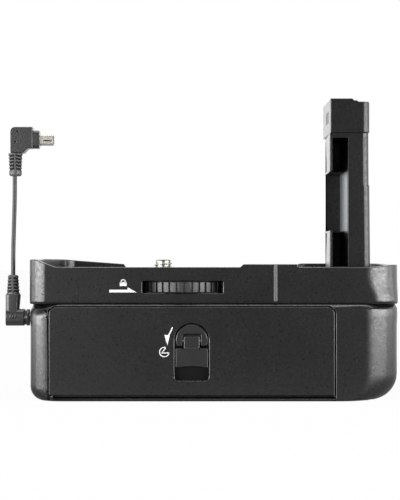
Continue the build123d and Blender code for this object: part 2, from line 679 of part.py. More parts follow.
# Carrier plate under the wheel, hung from the deck on three posts
CARRIER_THICK = 2.0
CARRIER_MARGIN = 1.4
POST_RADIUS = 2.2
POST_CLEARANCE = 1.0
POST_ANGLES = (15, 90, 165)
TAIL_RADIUS = 2.5
CARRIER_TOP_Z = WHEEL_LOW_Z - WHEEL_FLOAT
CARRIER_LOW_Z = CARRIER_TOP_Z - CARRIER_THICK
post_distance = WHEEL_RADIUS + POST_RADIUS + POST_CLEARANCE
post_places = [
    (WHEEL_X + post_distance * cos(radians(turn)), WHEEL_Y + post_distance * sin(radians(turn)))
    for turn in POST_ANGLES
]

with BuildPart() as wheel_carrier:
    with BuildSketch(Plane.XY.offset(CARRIER_LOW_Z)):
        with Locations((WHEEL_X, WHEEL_Y)):
            Circle(WHEEL_RADIUS + CARRIER_MARGIN)
        with Locations(*post_places):
            Circle(POST_RADIUS + CARRIER_MARGIN)
        make_hull()
    extrude(amount=CARRIER_THICK)
    add(
        body_block(BAND_Y, WALL + SLIDING_GAP, CARRIER_LOW_Z - OVERRUN, CARRIER_TOP_Z + OVERRUN),
        mode=Mode.INTERSECT,
    )
    for x, y in post_places:
        rod((x, y, CARRIER_LOW_Z), (0, 0, 1), POST_RADIUS, DECK_LOW_Z - CARRIER_LOW_Z)
        rod((x, y, CARRIER_LOW_Z), (0, 0, 1), BOSS_HOLE, DECK_LOW_Z, mode=Mode.SUBTRACT)
    rod(
        (0, 0, CARRIER_LOW_Z), (0, 0, 1), TAIL_RADIUS + RUNNING_GAP, CARRIER_THICK,
        mode=Mode.SUBTRACT,
    )
wheel_carrier.part.label = "wheel_carrier"
export_step(wheel_carrier.part, "parts/wheel_carrier.step")

with BuildPart() as carrier_screws:
    for x, y in post_places:
        fastener(
            (x, y, CARRIER_LOW_Z - COUNTERSINK_DEPTH), (0, 0, 1), COUNTERSINK_RADIUS,
            COUNTERSINK_DEPTH, BOSS_HOLE, DECK_LOW_Z - CARRIER_LOW_Z,
        )
carrier_screws.part.label = "carrier_screws"
export_step(carrier_screws.part, "parts/carrier_screws.step")


# Camera screw with its bushing, pinion and retaining clip
PINION_HEIGHT = 2.0
PINION_REST = 0.2
CLIP_THICK = 0.4
CLIP_RADIUS = 4.0
CLIP_GROOVE = 0.5
TIP_CHAMFER = 0.6
PINION_LOW_Z = CARRIER_TOP_Z + PINION_REST
PINION_TOP_Z = PINION_LOW_Z + PINION_HEIGHT
CAMERA_PLANE_Z = DECK_Z + DECK_PAD_THICK
CLIP_LOW_Z = CARRIER_LOW_Z - PINION_REST / 2 - CLIP_THICK

with BuildPart() as screw_bushing:
    rod((0, 0, BEARING_LOW_Z), (0, 0, 1), BUSHING_RADIUS, DECK_Z - BEARING_LOW_Z)
    rod((0, 0, DECK_Z), (0, 0, 1), BUSHING_FLANGE_RADIUS, BUSHING_FLANGE)
    rod(
        (0, 0, BEARING_LOW_Z), (0, 0, 1), SHANK_RADIUS + RUNNING_GAP, DECK_Z,
        mode=Mode.SUBTRACT,
    )
screw_bushing.part.label = "screw_bushing"
export_step(screw_bushing.part, "parts/screw_bushing.step")

with BuildPart() as camera_screw:
    rod((0, 0, CAMERA_PLANE_Z), (0, 0, 1), SCREW_RADIUS, SCREW_REACH)
    chamfer(camera_screw.edges().group_by(Axis.Z)[-1], length=TIP_CHAMFER)
    rod((0, 0, PINION_TOP_Z), (0, 0, 1), SHANK_RADIUS, CAMERA_PLANE_Z - PINION_TOP_Z)
    rod(
        (0, 0, CLIP_LOW_Z - CLIP_THICK), (0, 0, 1), TAIL_RADIUS,
        PINION_TOP_Z - CLIP_LOW_Z + CLIP_THICK,
    )
    with BuildSketch(Plane.XY.offset(CLIP_LOW_Z)):
        Circle(TAIL_RADIUS)
        Circle(TAIL_RADIUS - CLIP_GROOVE, mode=Mode.SUBTRACT)
    extrude(amount=CLIP_THICK, mode=Mode.SUBTRACT)
camera_screw.part.label = "camera_screw"
export_step(camera_screw.part, "parts/camera_screw.step")

with BuildPart() as screw_pinion:
    with BuildSketch(Plane.XY.offset(PINION_LOW_Z)):
        with BuildLine():
            Polyline(
                gear_corners(PINION_TEETH, False, TOOTH_SHARE, LEAN_SHARE, mesh_angle), close=True
            )
        make_face()
        Circle(TAIL_RADIUS, mode=Mode.SUBTRACT)
    extrude(amount=PINION_HEIGHT)
screw_pinion.part.label = "screw_pinion"
export_step(screw_pinion.part, "parts/screw_pinion.step")

with BuildPart() as screw_clip:
    with BuildSketch(Plane.XY.offset(CLIP_LOW_Z)):
        Circle(CLIP_RADIUS)
        Circle(TAIL_RADIUS - CLIP_GROOVE, mode=Mode.SUBTRACT)
        with Locations((CLIP_RADIUS, 0)):
            Rectangle(2 * CLIP_RADIUS, 2 * (TAIL_RADIUS - CLIP_GROOVE), mode=Mode.SUBTRACT)
    extrude(amount=CLIP_THICK)
screw_clip.part.label = "screw_clip"
export_step(screw_clip.part, "parts/screw_clip.step")


# Stem: a channel with one solid column, open to the rear, with a window in its thin wall
STEM_FOOT_Z = DECK_LOW_Z - FOOT_THICK
STEM_ROUND = 1.8
COLUMN_WIDTH = 7.1
THIN_WALL = 0.7
FAR_WALL = 1.8
SLOT_LOW_Z = 45.5
SLOT_TOP_Z = 90.0
STEM_WINDOW_LOW_Z = 57.9
STEM_WINDOW_TOP_Z = 78.4
BORE_WALL = 1.5
BORE_WIDTH = 4.1
BORE_DEPTH = 24.0
SPIGOT_HEIGHT = 2.2
CAP_WALL = 1.2
column_left_x = STEM_RIGHT_X - COLUMN_WIDTH
bore_x = (STEM_RIGHT_X - BORE_WALL - BORE_WIDTH, STEM_RIGHT_X - BORE_WALL)
bore_y = (STEM_MIDDLE_Y - BORE_DEPTH / 2, STEM_MIDDLE_Y + BORE_DEPTH / 2)

with BuildPart() as stem_shell:
    slab(
        (STEM_LEFT_X, STEM_RIGHT_X), (STEM_REAR_Y, STEM_FRONT_Y), (STEM_FOOT_Z, STEM_TOP_Z)
    )
    fillet(
        stem_shell.edges().filter_by(Axis.Z).group_by(Axis.X)[-1],
        radius=STEM_ROUND,
    )
    fillet(
        stem_shell.edges().filter_by(Axis.Z).group_by(Axis.X)[0],
        radius=THIN_WALL / 2,
    )
    slab(
        (STEM_LEFT_X - FOOT_SCREW_INSET, STEM_RIGHT_X + FOOT_SCREW_INSET),
        (STEM_REAR_Y - FOOT_REACH, STEM_FRONT_Y + FOOT_REACH),
        (STEM_FOOT_Z, DECK_LOW_Z),
    )
    # Spigot that enters the cap
    slab(
        (STEM_LEFT_X + CAP_WALL + SEAT_GAP, STEM_RIGHT_X + CAP_OVERHANG - CAP_WALL - SEAT_GAP),
        (STEM_REAR_Y - CAP_OVERHANG + CAP_WALL + SEAT_GAP,
         STEM_FRONT_Y + CAP_OVERHANG - CAP_WALL - SEAT_GAP),
        (STEM_TOP_Z, STEM_TOP_Z + SPIGOT_HEIGHT),
    )
    # Slot, window and the bore for the flex cable
    slab(
        (STEM_LEFT_X + THIN_WALL, column_left_x),
        (STEM_REAR_Y - OVERRUN, STEM_FRONT_Y - FAR_WALL),
        (SLOT_LOW_Z, SLOT_TOP_Z),
        mode=Mode.SUBTRACT,
    )
    slab(
        (STEM_LEFT_X - OVERRUN, STEM_LEFT_X + THIN_WALL + OVERRUN),
        (STEM_REAR_Y - OVERRUN, STEM_FRONT_Y - FAR_WALL),
        (STEM_WINDOW_LOW_Z, STEM_WINDOW_TOP_Z),
        mode=Mode.SUBTRACT,
    )
    slab(bore_x, bore_y, (STEM_FOOT_Z - OVERRUN, STEM_TOP_Z + SPIGOT_HEIGHT + OVERRUN), Mode.SUBTRACT)
    for x, y in stem_screw_places:
        rod((x, y, STEM_FOOT_Z), (0, 0, 1), BOSS_HOLE, FOOT_THICK, mode=Mode.SUBTRACT)
stem_shell.part.label = "stem_shell"
export_step(stem_shell.part, "parts/stem_shell.step")

with BuildPart() as stem_screws:
    for x, y in stem_screw_places:
        fastener(
            (x, y, STEM_FOOT_Z - COUNTERSINK_DEPTH), (0, 0, 1), FOOT_SCREW_INSET - SEAT_GAP,
            COUNTERSINK_DEPTH, BOSS_HOLE, COUNTERSINK_DEPTH + FOOT_THICK + DECK_THICK / 2,
        )
stem_screws.part.label = "stem_screws"
export_step(stem_screws.part, "parts/stem_screws.step")

# Cap with a lowered right half of its top, and slots for the battery contacts
CAP_STEP = 1.0
CAP_STEP_X = 65.5
CAP_BEVEL_RUN = 2.0
CAP_TOP_Z = STEM_TOP_Z + CAP_HEIGHT
BLADE_COUNT = 3
BLADE_PITCH = 4.6
BLADE_WIDTH = 2.2
BLADE_HEIGHT = 3.8
BLADE_LOW_Z = 95.8
BLADE_THICK = 0.6
BLADE_FIRST_Y = 5.6
BLADE_SINK = 0.5
STEM_BOARD_THICK = 1.2
FLEX_THICK = 0.3
FLEX_WIDTH = 8.0
FLEX_OFFSET = 8.0
stem_board_x = (bore_x[0] + bore_x[1]) / 2
blade_places = [BLADE_FIRST_Y + number * BLADE_PITCH for number in range(BLADE_COUNT)]
stem_board_low_z = STEM_TOP_Z + SPIGOT_HEIGHT - CAP_WALL

with BuildPart() as stem_cap:
    slab(
        (STEM_LEFT_X, STEM_RIGHT_X + CAP_OVERHANG),
        (STEM_REAR_Y - CAP_OVERHANG, STEM_FRONT_Y + CAP_OVERHANG),
        (STEM_TOP_Z, CAP_TOP_Z),
    )
    with BuildSketch(Plane.XZ.offset(-STEM_REAR_Y + OVERRUN)):
        with BuildLine():
            Polyline(
                (CAP_STEP_X, CAP_TOP_Z),
                (CAP_STEP_X + CAP_BEVEL_RUN, CAP_TOP_Z - CAP_STEP),
                (STEM_RIGHT_X + OVERRUN, CAP_TOP_Z - CAP_STEP),
                (STEM_RIGHT_X + OVERRUN, CAP_TOP_Z + OVERRUN),
                (CAP_STEP_X, CAP_TOP_Z + OVERRUN),
                close=True,
            )
        make_face()
    extrude(amount=-(STEM_DEPTH + 2 * OVERRUN), mode=Mode.SUBTRACT)
    fillet(
        stem_cap.edges().filter_by(Axis.Z).group_by(Axis.X)[-1],
        radius=STEM_ROUND,
    )
    slab(
        (STEM_LEFT_X + CAP_WALL, STEM_RIGHT_X + CAP_OVERHANG - CAP_WALL),
        (STEM_REAR_Y - CAP_OVERHANG + CAP_WALL, STEM_FRONT_Y + CAP_OVERHANG - CAP_WALL),
        (STEM_TOP_Z - OVERRUN, CAP_TOP_Z - CAP_STEP - CAP_WALL),
        mode=Mode.SUBTRACT,
    )
    for y in blade_places:
        slab(
            (STEM_LEFT_X - OVERRUN, STEM_LEFT_X + CAP_WALL + OVERRUN),
            (y - BLADE_WIDTH / 2, y + BLADE_WIDTH / 2),
            (BLADE_LOW_Z, BLADE_LOW_Z + BLADE_HEIGHT),
            mode=Mode.SUBTRACT,
        )
stem_cap.part.label = "stem_cap"
export_step(stem_cap.part, "parts/stem_cap.step")

with BuildPart() as stem_contacts:
    for y in blade_places:
        slab(
            (STEM_LEFT_X + BLADE_SINK, stem_board_x),
            (y - BLADE_THICK / 2, y + BLADE_THICK / 2),
            (BLADE_LOW_Z + BLADE_THICK, BLADE_LOW_Z + BLADE_HEIGHT - BLADE_THICK),
        )
stem_contacts.part.label = "stem_contacts"
export_step(stem_contacts.part, "parts/stem_contacts.step")

with BuildPart() as stem_board:
    slab(
        (stem_board_x, stem_board_x + STEM_BOARD_THICK),
        (bore_y[0], bore_y[1]),
        (stem_board_low_z, BLADE_LOW_Z + BLADE_HEIGHT),
    )
stem_board.part.label = "stem_board"
export_step(stem_board.part, "parts/stem_board.step")


# Main circuit board on its bosses, with its chips, screws and the flex cable to the stem
CHIP_HEIGHT = 1.4
CHIP_SIDE = 7.0
BOARD_SCREW_HEAD = 1.0
BOARD_TOP_Z = BOARD_LOW_Z + BOARD_THICK
board_centre_x = BOARD_LEFT_X + BOARD_WIDTH / 2
CHIP_COUNT = 3
CHIP_PITCH = 10.5
chip_places = [
    (board_centre_x - SLIDING_GAP, BOARD_REAR_Y + CHIP_SIDE + number * CHIP_PITCH)
    for number in range(CHIP_COUNT)
]

with BuildPart() as main_board:
    slab(
        (BOARD_LEFT_X, BOARD_LEFT_X + BOARD_WIDTH),
        (BOARD_REAR_Y, BOARD_REAR_Y + BOARD_DEPTH),
        (BOARD_LOW_Z, BOARD_TOP_Z),
    )
    for x, y in board_bosses:
        rod((x, y, BOARD_LOW_Z), (0, 0, 1), BOSS_HOLE, BOARD_THICK, mode=Mode.SUBTRACT)
main_board.part.label = "main_board"
export_step(main_board.part, "parts/main_board.step")

with BuildPart() as board_chips:
    for x, y in chip_places:
        slab(
            (x - CHIP_SIDE / 2, x + CHIP_SIDE / 2),
            (y - CHIP_SIDE / 2, y + CHIP_SIDE / 2),
            (BOARD_TOP_Z, BOARD_TOP_Z + CHIP_HEIGHT),
        )
board_chips.part.label = "board_chips"
export_step(board_chips.part, "parts/board_chips.step")

with BuildPart() as board_screws:
    for x, y in board_bosses:
        fastener(
            (x, y, BOARD_TOP_Z + BOARD_SCREW_HEAD), (0, 0, -1), COUNTERSINK_RADIUS,
            BOARD_SCREW_HEAD, BOSS_HOLE, BOARD_TOP_Z + BOARD_SCREW_HEAD - FLOOR,
        )
board_screws.part.label = "board_screws"
export_step(board_screws.part, "parts/board_screws.step")

with BuildPart() as flex_cable:
    slab(
        (stem_board_x - FLEX_THICK, stem_board_x),
        (STEM_MIDDLE_Y + FLEX_OFFSET - FLEX_WIDTH / 2, STEM_MIDDLE_Y + FLEX_OFFSET + FLEX_WIDTH / 2),
        (BOARD_TOP_Z, BLADE_LOW_Z),
    )
flex_cable.part.label = "flex_cable"
export_step(flex_cable.part, "parts/flex_cable.step")


# Shutter button in its bezel on the right end, with a lock ring round it
BEZEL_SHOULDER = 2.9
DOME_WALL = 0.6
SWITCH_BOARD_THICK = 1.2
SWITCH_SIDE = 6.0
SWITCH_BODY = 2.0
SWITCH_STEM_RADIUS = 1.2
BEZEL_CAVITY_WALL = 1.4


def inward(depth, radius, length, mode=Mode.ADD):
    """Cylinder about the shutter button's axis, from a depth below the right end inwards."""
    rod((RIGHT_X - depth, BUTTON_Y, BUTTON_Z), (-1, 0, 0), radius, length, mode)


ring_seat_depth = LOCK_RING_THICK - LOCK_RING_PROUD + RUNNING_GAP
flange_depth = ring_seat_depth + BEZEL_SHOULDER + SEAT_GAP

with BuildPart() as button_bezel:
    inward(0, BEZEL_FLANGE_RADIUS, BEZEL_FLANGE)
    inward(0, BEZEL_SLEEVE_RADIUS, BEZEL_LENGTH)
    inward(-OVERRUN, LOCK_RING_RADIUS + RUNNING_GAP, OVERRUN + ring_seat_depth, Mode.SUBTRACT)
    inward(0, BUTTON_RADIUS + RUNNING_GAP, BEZEL_LENGTH, Mode.SUBTRACT)
    inward(
        ring_seat_depth + BEZEL_SHOULDER,
        BEZEL_SLEEVE_RADIUS - BEZEL_CAVITY_WALL,
        BEZEL_LENGTH,
        Mode.SUBTRACT,
    )
button_bezel.part.label = "button_bezel"
export_step(button_bezel.part, "parts/button_bezel.step")

LOCK_LUG_WIDTH = 2.0
LOCK_LUG_HEIGHT = 0.5
with BuildPart() as lock_ring:
    inward(-LOCK_RING_PROUD, LOCK_RING_RADIUS, LOCK_RING_THICK)
    slab(
        (RIGHT_X + LOCK_RING_PROUD, RIGHT_X + LOCK_RING_PROUD + LOCK_LUG_HEIGHT),
        (BUTTON_Y - LOCK_LUG_WIDTH / 2, BUTTON_Y + LOCK_LUG_WIDTH / 2),
        (BUTTON_Z + BUTTON_RADIUS + SLIDING_GAP, BUTTON_Z + LOCK_RING_RADIUS - SLIDING_GAP),
    )
    inward(-OVERRUN, BUTTON_RADIUS + SLIDING_GAP, LOCK_RING_THICK + OVERRUN, Mode.SUBTRACT)
lock_ring.part.label = "lock_ring"
export_step(lock_ring.part, "parts/lock_ring.step")

with BuildPart() as shutter_button:
    inward(-BUTTON_PROUD, BUTTON_RADIUS, BUTTON_PROUD + flange_depth)
    fillet(shutter_button.edges().group_by(Axis.X)[-1], radius=BUTTON_PROUD / 2)
    inward(flange_depth, BUTTON_RADIUS + BUTTON_FLANGE, BUTTON_FLANGE)
shutter_button.part.label = "shutter_button"
export_step(shutter_button.part, "parts/shutter_button.step")

switch_depth = BEZEL_LENGTH
dome_depth = flange_depth + BUTTON_FLANGE
with BuildPart() as switch_board:
    inward(switch_depth, BEZEL_SLEEVE_RADIUS, SWITCH_BOARD_THICK)
switch_board.part.label = "switch_board"
export_step(switch_board.part, "parts/switch_board.step")

switch_top_depth = dome_depth + BUTTON_TRAVEL + SEAT_GAP
with BuildPart() as button_switch:
    slab(
        (RIGHT_X - switch_depth, RIGHT_X - switch_depth + SWITCH_BODY),
        (BUTTON_Y - SWITCH_SIDE / 2, BUTTON_Y + SWITCH_SIDE / 2),
        (BUTTON_Z - SWITCH_SIDE / 2, BUTTON_Z + SWITCH_SIDE / 2),
    )
    inward(switch_top_depth, SWITCH_STEM_RADIUS, switch_depth - switch_top_depth)
button_switch.part.label = "button_switch"
export_step(button_switch.part, "parts/button_switch.step")

with BuildPart() as button_dome:
    outer_low = BEZEL_SLEEVE_RADIUS - BEZEL_CAVITY_WALL - SLIDING_GAP
    with BuildSketch(Plane.XZ.offset(-BUTTON_Y)):
        with BuildLine():
            Polyline(
                (RIGHT_X - switch_depth, BUTTON_Z + outer_low - DOME_WALL),
                (RIGHT_X - switch_depth, BUTTON_Z + outer_low),
                (RIGHT_X - dome_depth, BUTTON_Z + BUTTON_RADIUS),
                (RIGHT_X - dome_depth, BUTTON_Z + BUTTON_RADIUS - DOME_WALL),
                close=True,
            )
        make_face()
    revolve(axis=Axis((RIGHT_X, BUTTON_Y, BUTTON_Z), (1, 0, 0)))
button_dome.part.label = "button_dome"
export_step(button_dome.part, "parts/button_dome.step")


# Jack for the lead, in the left wall
JACK_BLOCK_HEIGHT = 8.0
JACK_BLOCK_DEPTH = 6.0
LEAD_PIN_RADIUS = 1.25
LEAD_PIN_LENGTH = 8.0
LEAD_STANDOFF = 1.0
JACK_BOTTOM = 0.6

with BuildPart() as jack_socket:
    rod((LEFT_X, JACK_Y, JACK_Z), (1, 0, 0), JACK_RADIUS - SEAT_GAP, WALL)
    slab(
        (LEFT_X + WALL, LEFT_X + JACK_LENGTH),
        (JACK_Y - JACK_BLOCK_DEPTH / 2, JACK_Y + JACK_BLOCK_DEPTH / 2),
        (JACK_Z - JACK_BLOCK_HEIGHT / 2, JACK_Z + JACK_BLOCK_HEIGHT / 2),
    )
    rod(
        (LEFT_X - OVERRUN, JACK_Y, JACK_Z),
        (1, 0, 0),
        LEAD_PIN_RADIUS + RUNNING_GAP,
        LEAD_PIN_LENGTH + JACK_BOTTOM + OVERRUN,
        mode=Mode.SUBTRACT,
    )
jack_socket.part.label = "jack_socket"
export_step(jack_socket.part, "parts/jack_socket.step")


# Tray: the door, the frame with two open bays, its contacts and screws
TRAY_SCREW_INSET = 4.0
TRAY_SCREW_BITE = 1.6
LATCH_Z = 20.6
LATCH_ROUND = 5.8
LATCH_LOW_Z = 7.0
LATCH_CORNER = 1.5
LATCH_DEPTH = 3.2
tray_screw_places = [
    (x, z)
    for x in (TRAY_LEFT_X + TRAY_SCREW_INSET, TRAY_CENTRE_X - BAY_WIDTH / 2,
              TRAY_CENTRE_X + BAY_WIDTH / 2, TRAY_RIGHT_X - TRAY_SCREW_INSET)
    for z in (TRAY_BASE_Z + TRAY_SCREW_INSET, TRAY_TOP_Z - TRAY_SCREW_INSET)
]


def latch_outline(inset):
    """Arch-topped outline of the latch's recess, in the sketch being made."""
    half = LATCH_ROUND - inset
    low = LATCH_LOW_Z + inset
    corner = LATCH_CORNER - inset
    with BuildLine() as edge:
        FilletPolyline(
            (DOOR_CENTRE_X - half, LATCH_Z),
            (DOOR_CENTRE_X - half, low),
            (DOOR_CENTRE_X + half, low),
            (DOOR_CENTRE_X + half, LATCH_Z),
            radius=corner,
        )
        ThreePointArc(
            (DOOR_CENTRE_X + half, LATCH_Z),
            (DOOR_CENTRE_X, LATCH_Z + half),
            (DOOR_CENTRE_X - half, LATCH_Z),
        )
    make_face(edge.edges())


with BuildPart() as tray_door:
    slab((DOOR_LEFT_X, DOOR_RIGHT_X), (REAR_Y, DOOR_BACK_Y), (DOOR_LOW_Z, DOOR_TOP_Z))
    fillet(
        tray_door.edges().filter_by(Axis.Y).group_by(Axis.Z)[-1],
        radius=DOOR_ROUND,
    )
    with BuildSketch(Plane.XZ.offset(-REAR_Y + OVERRUN)):
        latch_outline(0)
    extrude(amount=-(DOOR_THICK + 2 * OVERRUN), mode=Mode.SUBTRACT)
    for x, z in tray_screw_places:
        rod((x, DOOR_BACK_Y, z), (0, -1, 0), BOSS_HOLE, TRAY_SCREW_BITE, mode=Mode.SUBTRACT)
tray_door.part.label = "tray_door"
export_step(tray_door.part, "parts/tray_door.step")

SHAFT_RADIUS = 2.0
with BuildPart() as tray_frame:
    slab((TRAY_LEFT_X, TRAY_RIGHT_X), (DOOR_BACK_Y, TRAY_FRONT_Y), (TRAY_BASE_Z, TRAY_TOP_Z))
    for side in (-1, 1):
        bay_x = TRAY_CENTRE_X + side * (BAY_WIDTH + TRAY_WALL) / 2
        slab(
            (bay_x - BAY_WIDTH / 2, bay_x + BAY_WIDTH / 2),
            (BAY_REAR_Y, BAY_FRONT_Y),
            (TRAY_BASE_Z + TRAY_WALL, TRAY_TOP_Z + OVERRUN),
            mode=Mode.SUBTRACT,
        )
    with BuildSketch(Plane.XZ.offset(-DOOR_BACK_Y + OVERRUN)):
        latch_outline(0)
    extrude(amount=-(OVERRUN + LATCH_DEPTH - DOOR_THICK), mode=Mode.SUBTRACT)
    rod(
        (DOOR_CENTRE_X, DOOR_BACK_Y, LATCH_Z), (0, 1, 0), SHAFT_RADIUS + RUNNING_GAP, TRAY_WALL,
        mode=Mode.SUBTRACT,
    )
    for x, z in contact_places:
        rod((x, BAY_FRONT_Y, z), (0, 1, 0), CONTACT_RADIUS, TRAY_WALL, mode=Mode.SUBTRACT)
    for x, z in tray_screw_places:
        rod((x, DOOR_BACK_Y, z), (0, 1, 0), BOSS_HOLE, TRAY_WALL, mode=Mode.SUBTRACT)
        rod(
            (x, BAY_REAR_Y, z), (0, -1, 0), COUNTERSINK_RADIUS, COUNTERSINK_DEPTH,
            mode=Mode.SUBTRACT,
        )
tray_frame.part.label = "tray_frame"
export_step(tray_frame.part, "parts/tray_frame.step")

with BuildPart() as tray_screws:
    for x, z in tray_screw_places:
        fastener(
            (x, BAY_REAR_Y, z), (0, -1, 0), COUNTERSINK_RADIUS, COUNTERSINK_DEPTH, BOSS_HOLE,
            TRAY_WALL + TRAY_SCREW_BITE,
        )
tray_screws.part.label = "tray_screws"
export_step(tray_screws.part, "parts/tray_screws.step")

with BuildPart() as tray_contacts:
    for x, z in contact_places:
        rod((x, BAY_FRONT_Y - SLIDING_GAP, z), (0, 1, 0), CONTACT_RADIUS, TRAY_WALL + SLIDING_GAP)
tray_contacts.part.label = "tray_contacts"
export_step(tray_contacts.part, "parts/tray_contacts.step")


# Latch on the door: a round hub, and a flap hinged on a pin through the hub's ears
HUB_GAP = 0.4
HUB_SINK = 0.2
EAR_LOW_Z = 18.8
NECK_WIDTH = 5.3
NECK_GAP = 0.45
FLAP_THICK = 1.2
FLAP_WIDTH = 10.9
FLAP_SHOULDER_Z = 17.9
FLAP_LOW_Z = 11.5
FLAP_SINK = 0.1
BARREL_RADIUS = 0.9
PIN_RADIUS = 0.4
PIN_DROP = 0.2
pin_y = REAR_Y + FLAP_SINK + BARREL_RADIUS
pin_z = LATCH_Z - PIN_DROP
hub_front_y = REAR_Y + HUB_SINK
hub_back_y = REAR_Y + LATCH_DEPTH - RUNNING_GAP
hub_radius = LATCH_ROUND - HUB_GAP
notch_top_z = pin_z + BARREL_RADIUS + NECK_GAP

with BuildPart() as latch_hub:
    with BuildSketch(Plane.XZ.offset(-hub_front_y)):
        with Locations((DOOR_CENTRE_X, LATCH_Z)):
            Circle(hub_radius)
        with Locations((DOOR_CENTRE_X, EAR_LOW_Z - LATCH_ROUND)):
            Rectangle(2 * LATCH_ROUND, 2 * LATCH_ROUND, mode=Mode.SUBTRACT)
    extrude(amount=hub_front_y - hub_back_y)
    slab(
        (DOOR_CENTRE_X - NECK_WIDTH / 2 - NECK_GAP, DOOR_CENTRE_X + NECK_WIDTH / 2 + NECK_GAP),
        (hub_front_y - OVERRUN, pin_y + BARREL_RADIUS + NECK_GAP),
        (EAR_LOW_Z - OVERRUN, notch_top_z),
        mode=Mode.SUBTRACT,
    )
    rod(
        (DOOR_CENTRE_X - LATCH_ROUND, pin_y, pin_z), (1, 0, 0), PIN_RADIUS, 2 * LATCH_ROUND,
        mode=Mode.SUBTRACT,
    )
    rod((DOOR_CENTRE_X, hub_back_y, LATCH_Z), (0, 1, 0), SHAFT_RADIUS, BAY_REAR_Y - hub_back_y)
latch_hub.part.label = "latch_hub"
export_step(latch_hub.part, "parts/latch_hub.step")

pin_half = sqrt(hub_radius ** 2 - PIN_DROP ** 2) - PIN_RADIUS
with BuildPart() as hinge_pin:
    rod((DOOR_CENTRE_X - pin_half, pin_y, pin_z), (1, 0, 0), PIN_RADIUS, 2 * pin_half)
hinge_pin.part.label = "hinge_pin"
export_step(hinge_pin.part, "parts/hinge_pin.step")

with BuildPart() as latch_flap:
    flap_y = (REAR_Y + FLAP_SINK, REAR_Y + FLAP_SINK + FLAP_THICK)
    slab(
        (DOOR_CENTRE_X - NECK_WIDTH / 2, DOOR_CENTRE_X + NECK_WIDTH / 2),
        flap_y,
        (FLAP_SHOULDER_Z - FLAP_THICK, pin_z),
    )
    slab(
        (DOOR_CENTRE_X - FLAP_WIDTH / 2, DOOR_CENTRE_X + FLAP_WIDTH / 2),
        flap_y,
        (FLAP_LOW_Z, FLAP_SHOULDER_Z),
    )
    rod(
        (DOOR_CENTRE_X - NECK_WIDTH / 2, pin_y, pin_z), (1, 0, 0), BARREL_RADIUS, NECK_WIDTH
    )
    rod(
        (DOOR_CENTRE_X - NECK_WIDTH, pin_y, pin_z), (1, 0, 0), PIN_RADIUS + RUNNING_GAP,
        2 * NECK_WIDTH, mode=Mode.SUBTRACT,
    )
latch_flap.part.label = "latch_flap"
export_step(latch_flap.part, "parts/latch_flap.step")

BOLT_WIDTH = 6.0
BOLT_THICK = 1.6
BOLT_TOP_GAP = 0.4
with BuildPart() as latch_bolt:
    slab(
        (DOOR_CENTRE_X - BOLT_WIDTH / 2, DOOR_CENTRE_X + BOLT_WIDTH / 2),
        (DOOR_BACK_Y, DOOR_BACK_Y + BOLT_THICK),
        (CHAMBER_TOP_Z + SLIDING_GAP, DOOR_TOP_Z - BOLT_TOP_GAP),
    )
latch_bolt.part.label = "latch_bolt"
export_step(latch_bolt.part, "parts/latch_bolt.step")


# Connecting lead: lower plug, strain reliefs, cable, upper plug and its metal connector
LEAD_X = -51.6
HEAD_X = -51.05
PLUG_RADIUS = 2.68
PLUG_UP_RADIUS = 2.5
PLUG_BACK = 2.7
PLUG_TOP_Z = 36.0
PLUG_COLLAR_RADIUS = 2.9
PLUG_COLLAR = 1.1
RELIEF_TOP_Z = 42.7
RELIEF_LOW_RADIUS = 2.2
RELIEF_HIGH_RADIUS = 1.75
HEAD_RELIEF_LOW_Z = 76.6
HEAD_RELIEF_RADIUS = 2.15
HEAD_RELIEF_TOP_RADIUS = 2.45
HEAD_LOW_Z = 84.5
HEAD_TOP_Z = 93.85
HEAD_LEFT_X = -53.0
HEAD_RIGHT_X = -44.4
HEAD_DEPTH = 7.0
HEAD_ROUND = 1.6
HEAD_CHAMFER = 1.4
SLEEVE_RIGHT_X = -42.4
SLEEVE_LOW_Z = 86.4
SLEEVE_TOP_Z = 92.5
SLEEVE_DEPTH = 5.6
CONNECTOR_RIGHT_X = -37.6
CONNECTOR_LOW_Z = 87.64
CONNECTOR_TOP_Z = 91.1
CONNECTOR_DEPTH = 4.4
CONNECTOR_WALL = 0.4
RELIEF_GROOVES = 5
GROOVE_DEPTH = 0.5
GROOVE_SHARE = 0.4
BEND_SHARE = 0.45
CABLE_RISE = 7.7
CABLE_MID_X = -51.33
CABLE_MID_Z = 59.9
CABLE_FALL = 7.6
lead_route = [
    (LEAD_X, JACK_Y, RELIEF_TOP_Z),
    (LEAD_X, JACK_Y, RELIEF_TOP_Z + CABLE_RISE),
    (CABLE_MID_X, JACK_Y, CABLE_MID_Z),
    (HEAD_X, JACK_Y, HEAD_RELIEF_LOW_Z - CABLE_FALL),
    (HEAD_X, JACK_Y, HEAD_RELIEF_LOW_Z),
]
collar_left_x = LEFT_X - LEAD_STANDOFF - PLUG_COLLAR


def ribbed_sleeve(x, low_z, top_z, low_radius, top_radius):
    """Tapered strain relief about a vertical line, with rings cut round it."""
    height = top_z - low_z
    step = height / (RELIEF_GROOVES + 1)
    groove = step * GROOVE_SHARE
    with Locations((x, JACK_Y, low_z)):
        Cone(low_radius, top_radius, height, align=(Align.CENTER, Align.CENTER, Align.MIN))
    for number in range(1, RELIEF_GROOVES + 1):
        ring_z = low_z + number * step - groove / 2
        radius = low_radius + (top_radius - low_radius) * number / (RELIEF_GROOVES + 1)
        with BuildSketch(Plane.XY.offset(ring_z)) as ring:
            with Locations((x, JACK_Y)):
                Circle(2 * radius)
                Circle(radius - GROOVE_DEPTH, mode=Mode.SUBTRACT)
        extrude(ring.sketch, amount=groove, mode=Mode.SUBTRACT)


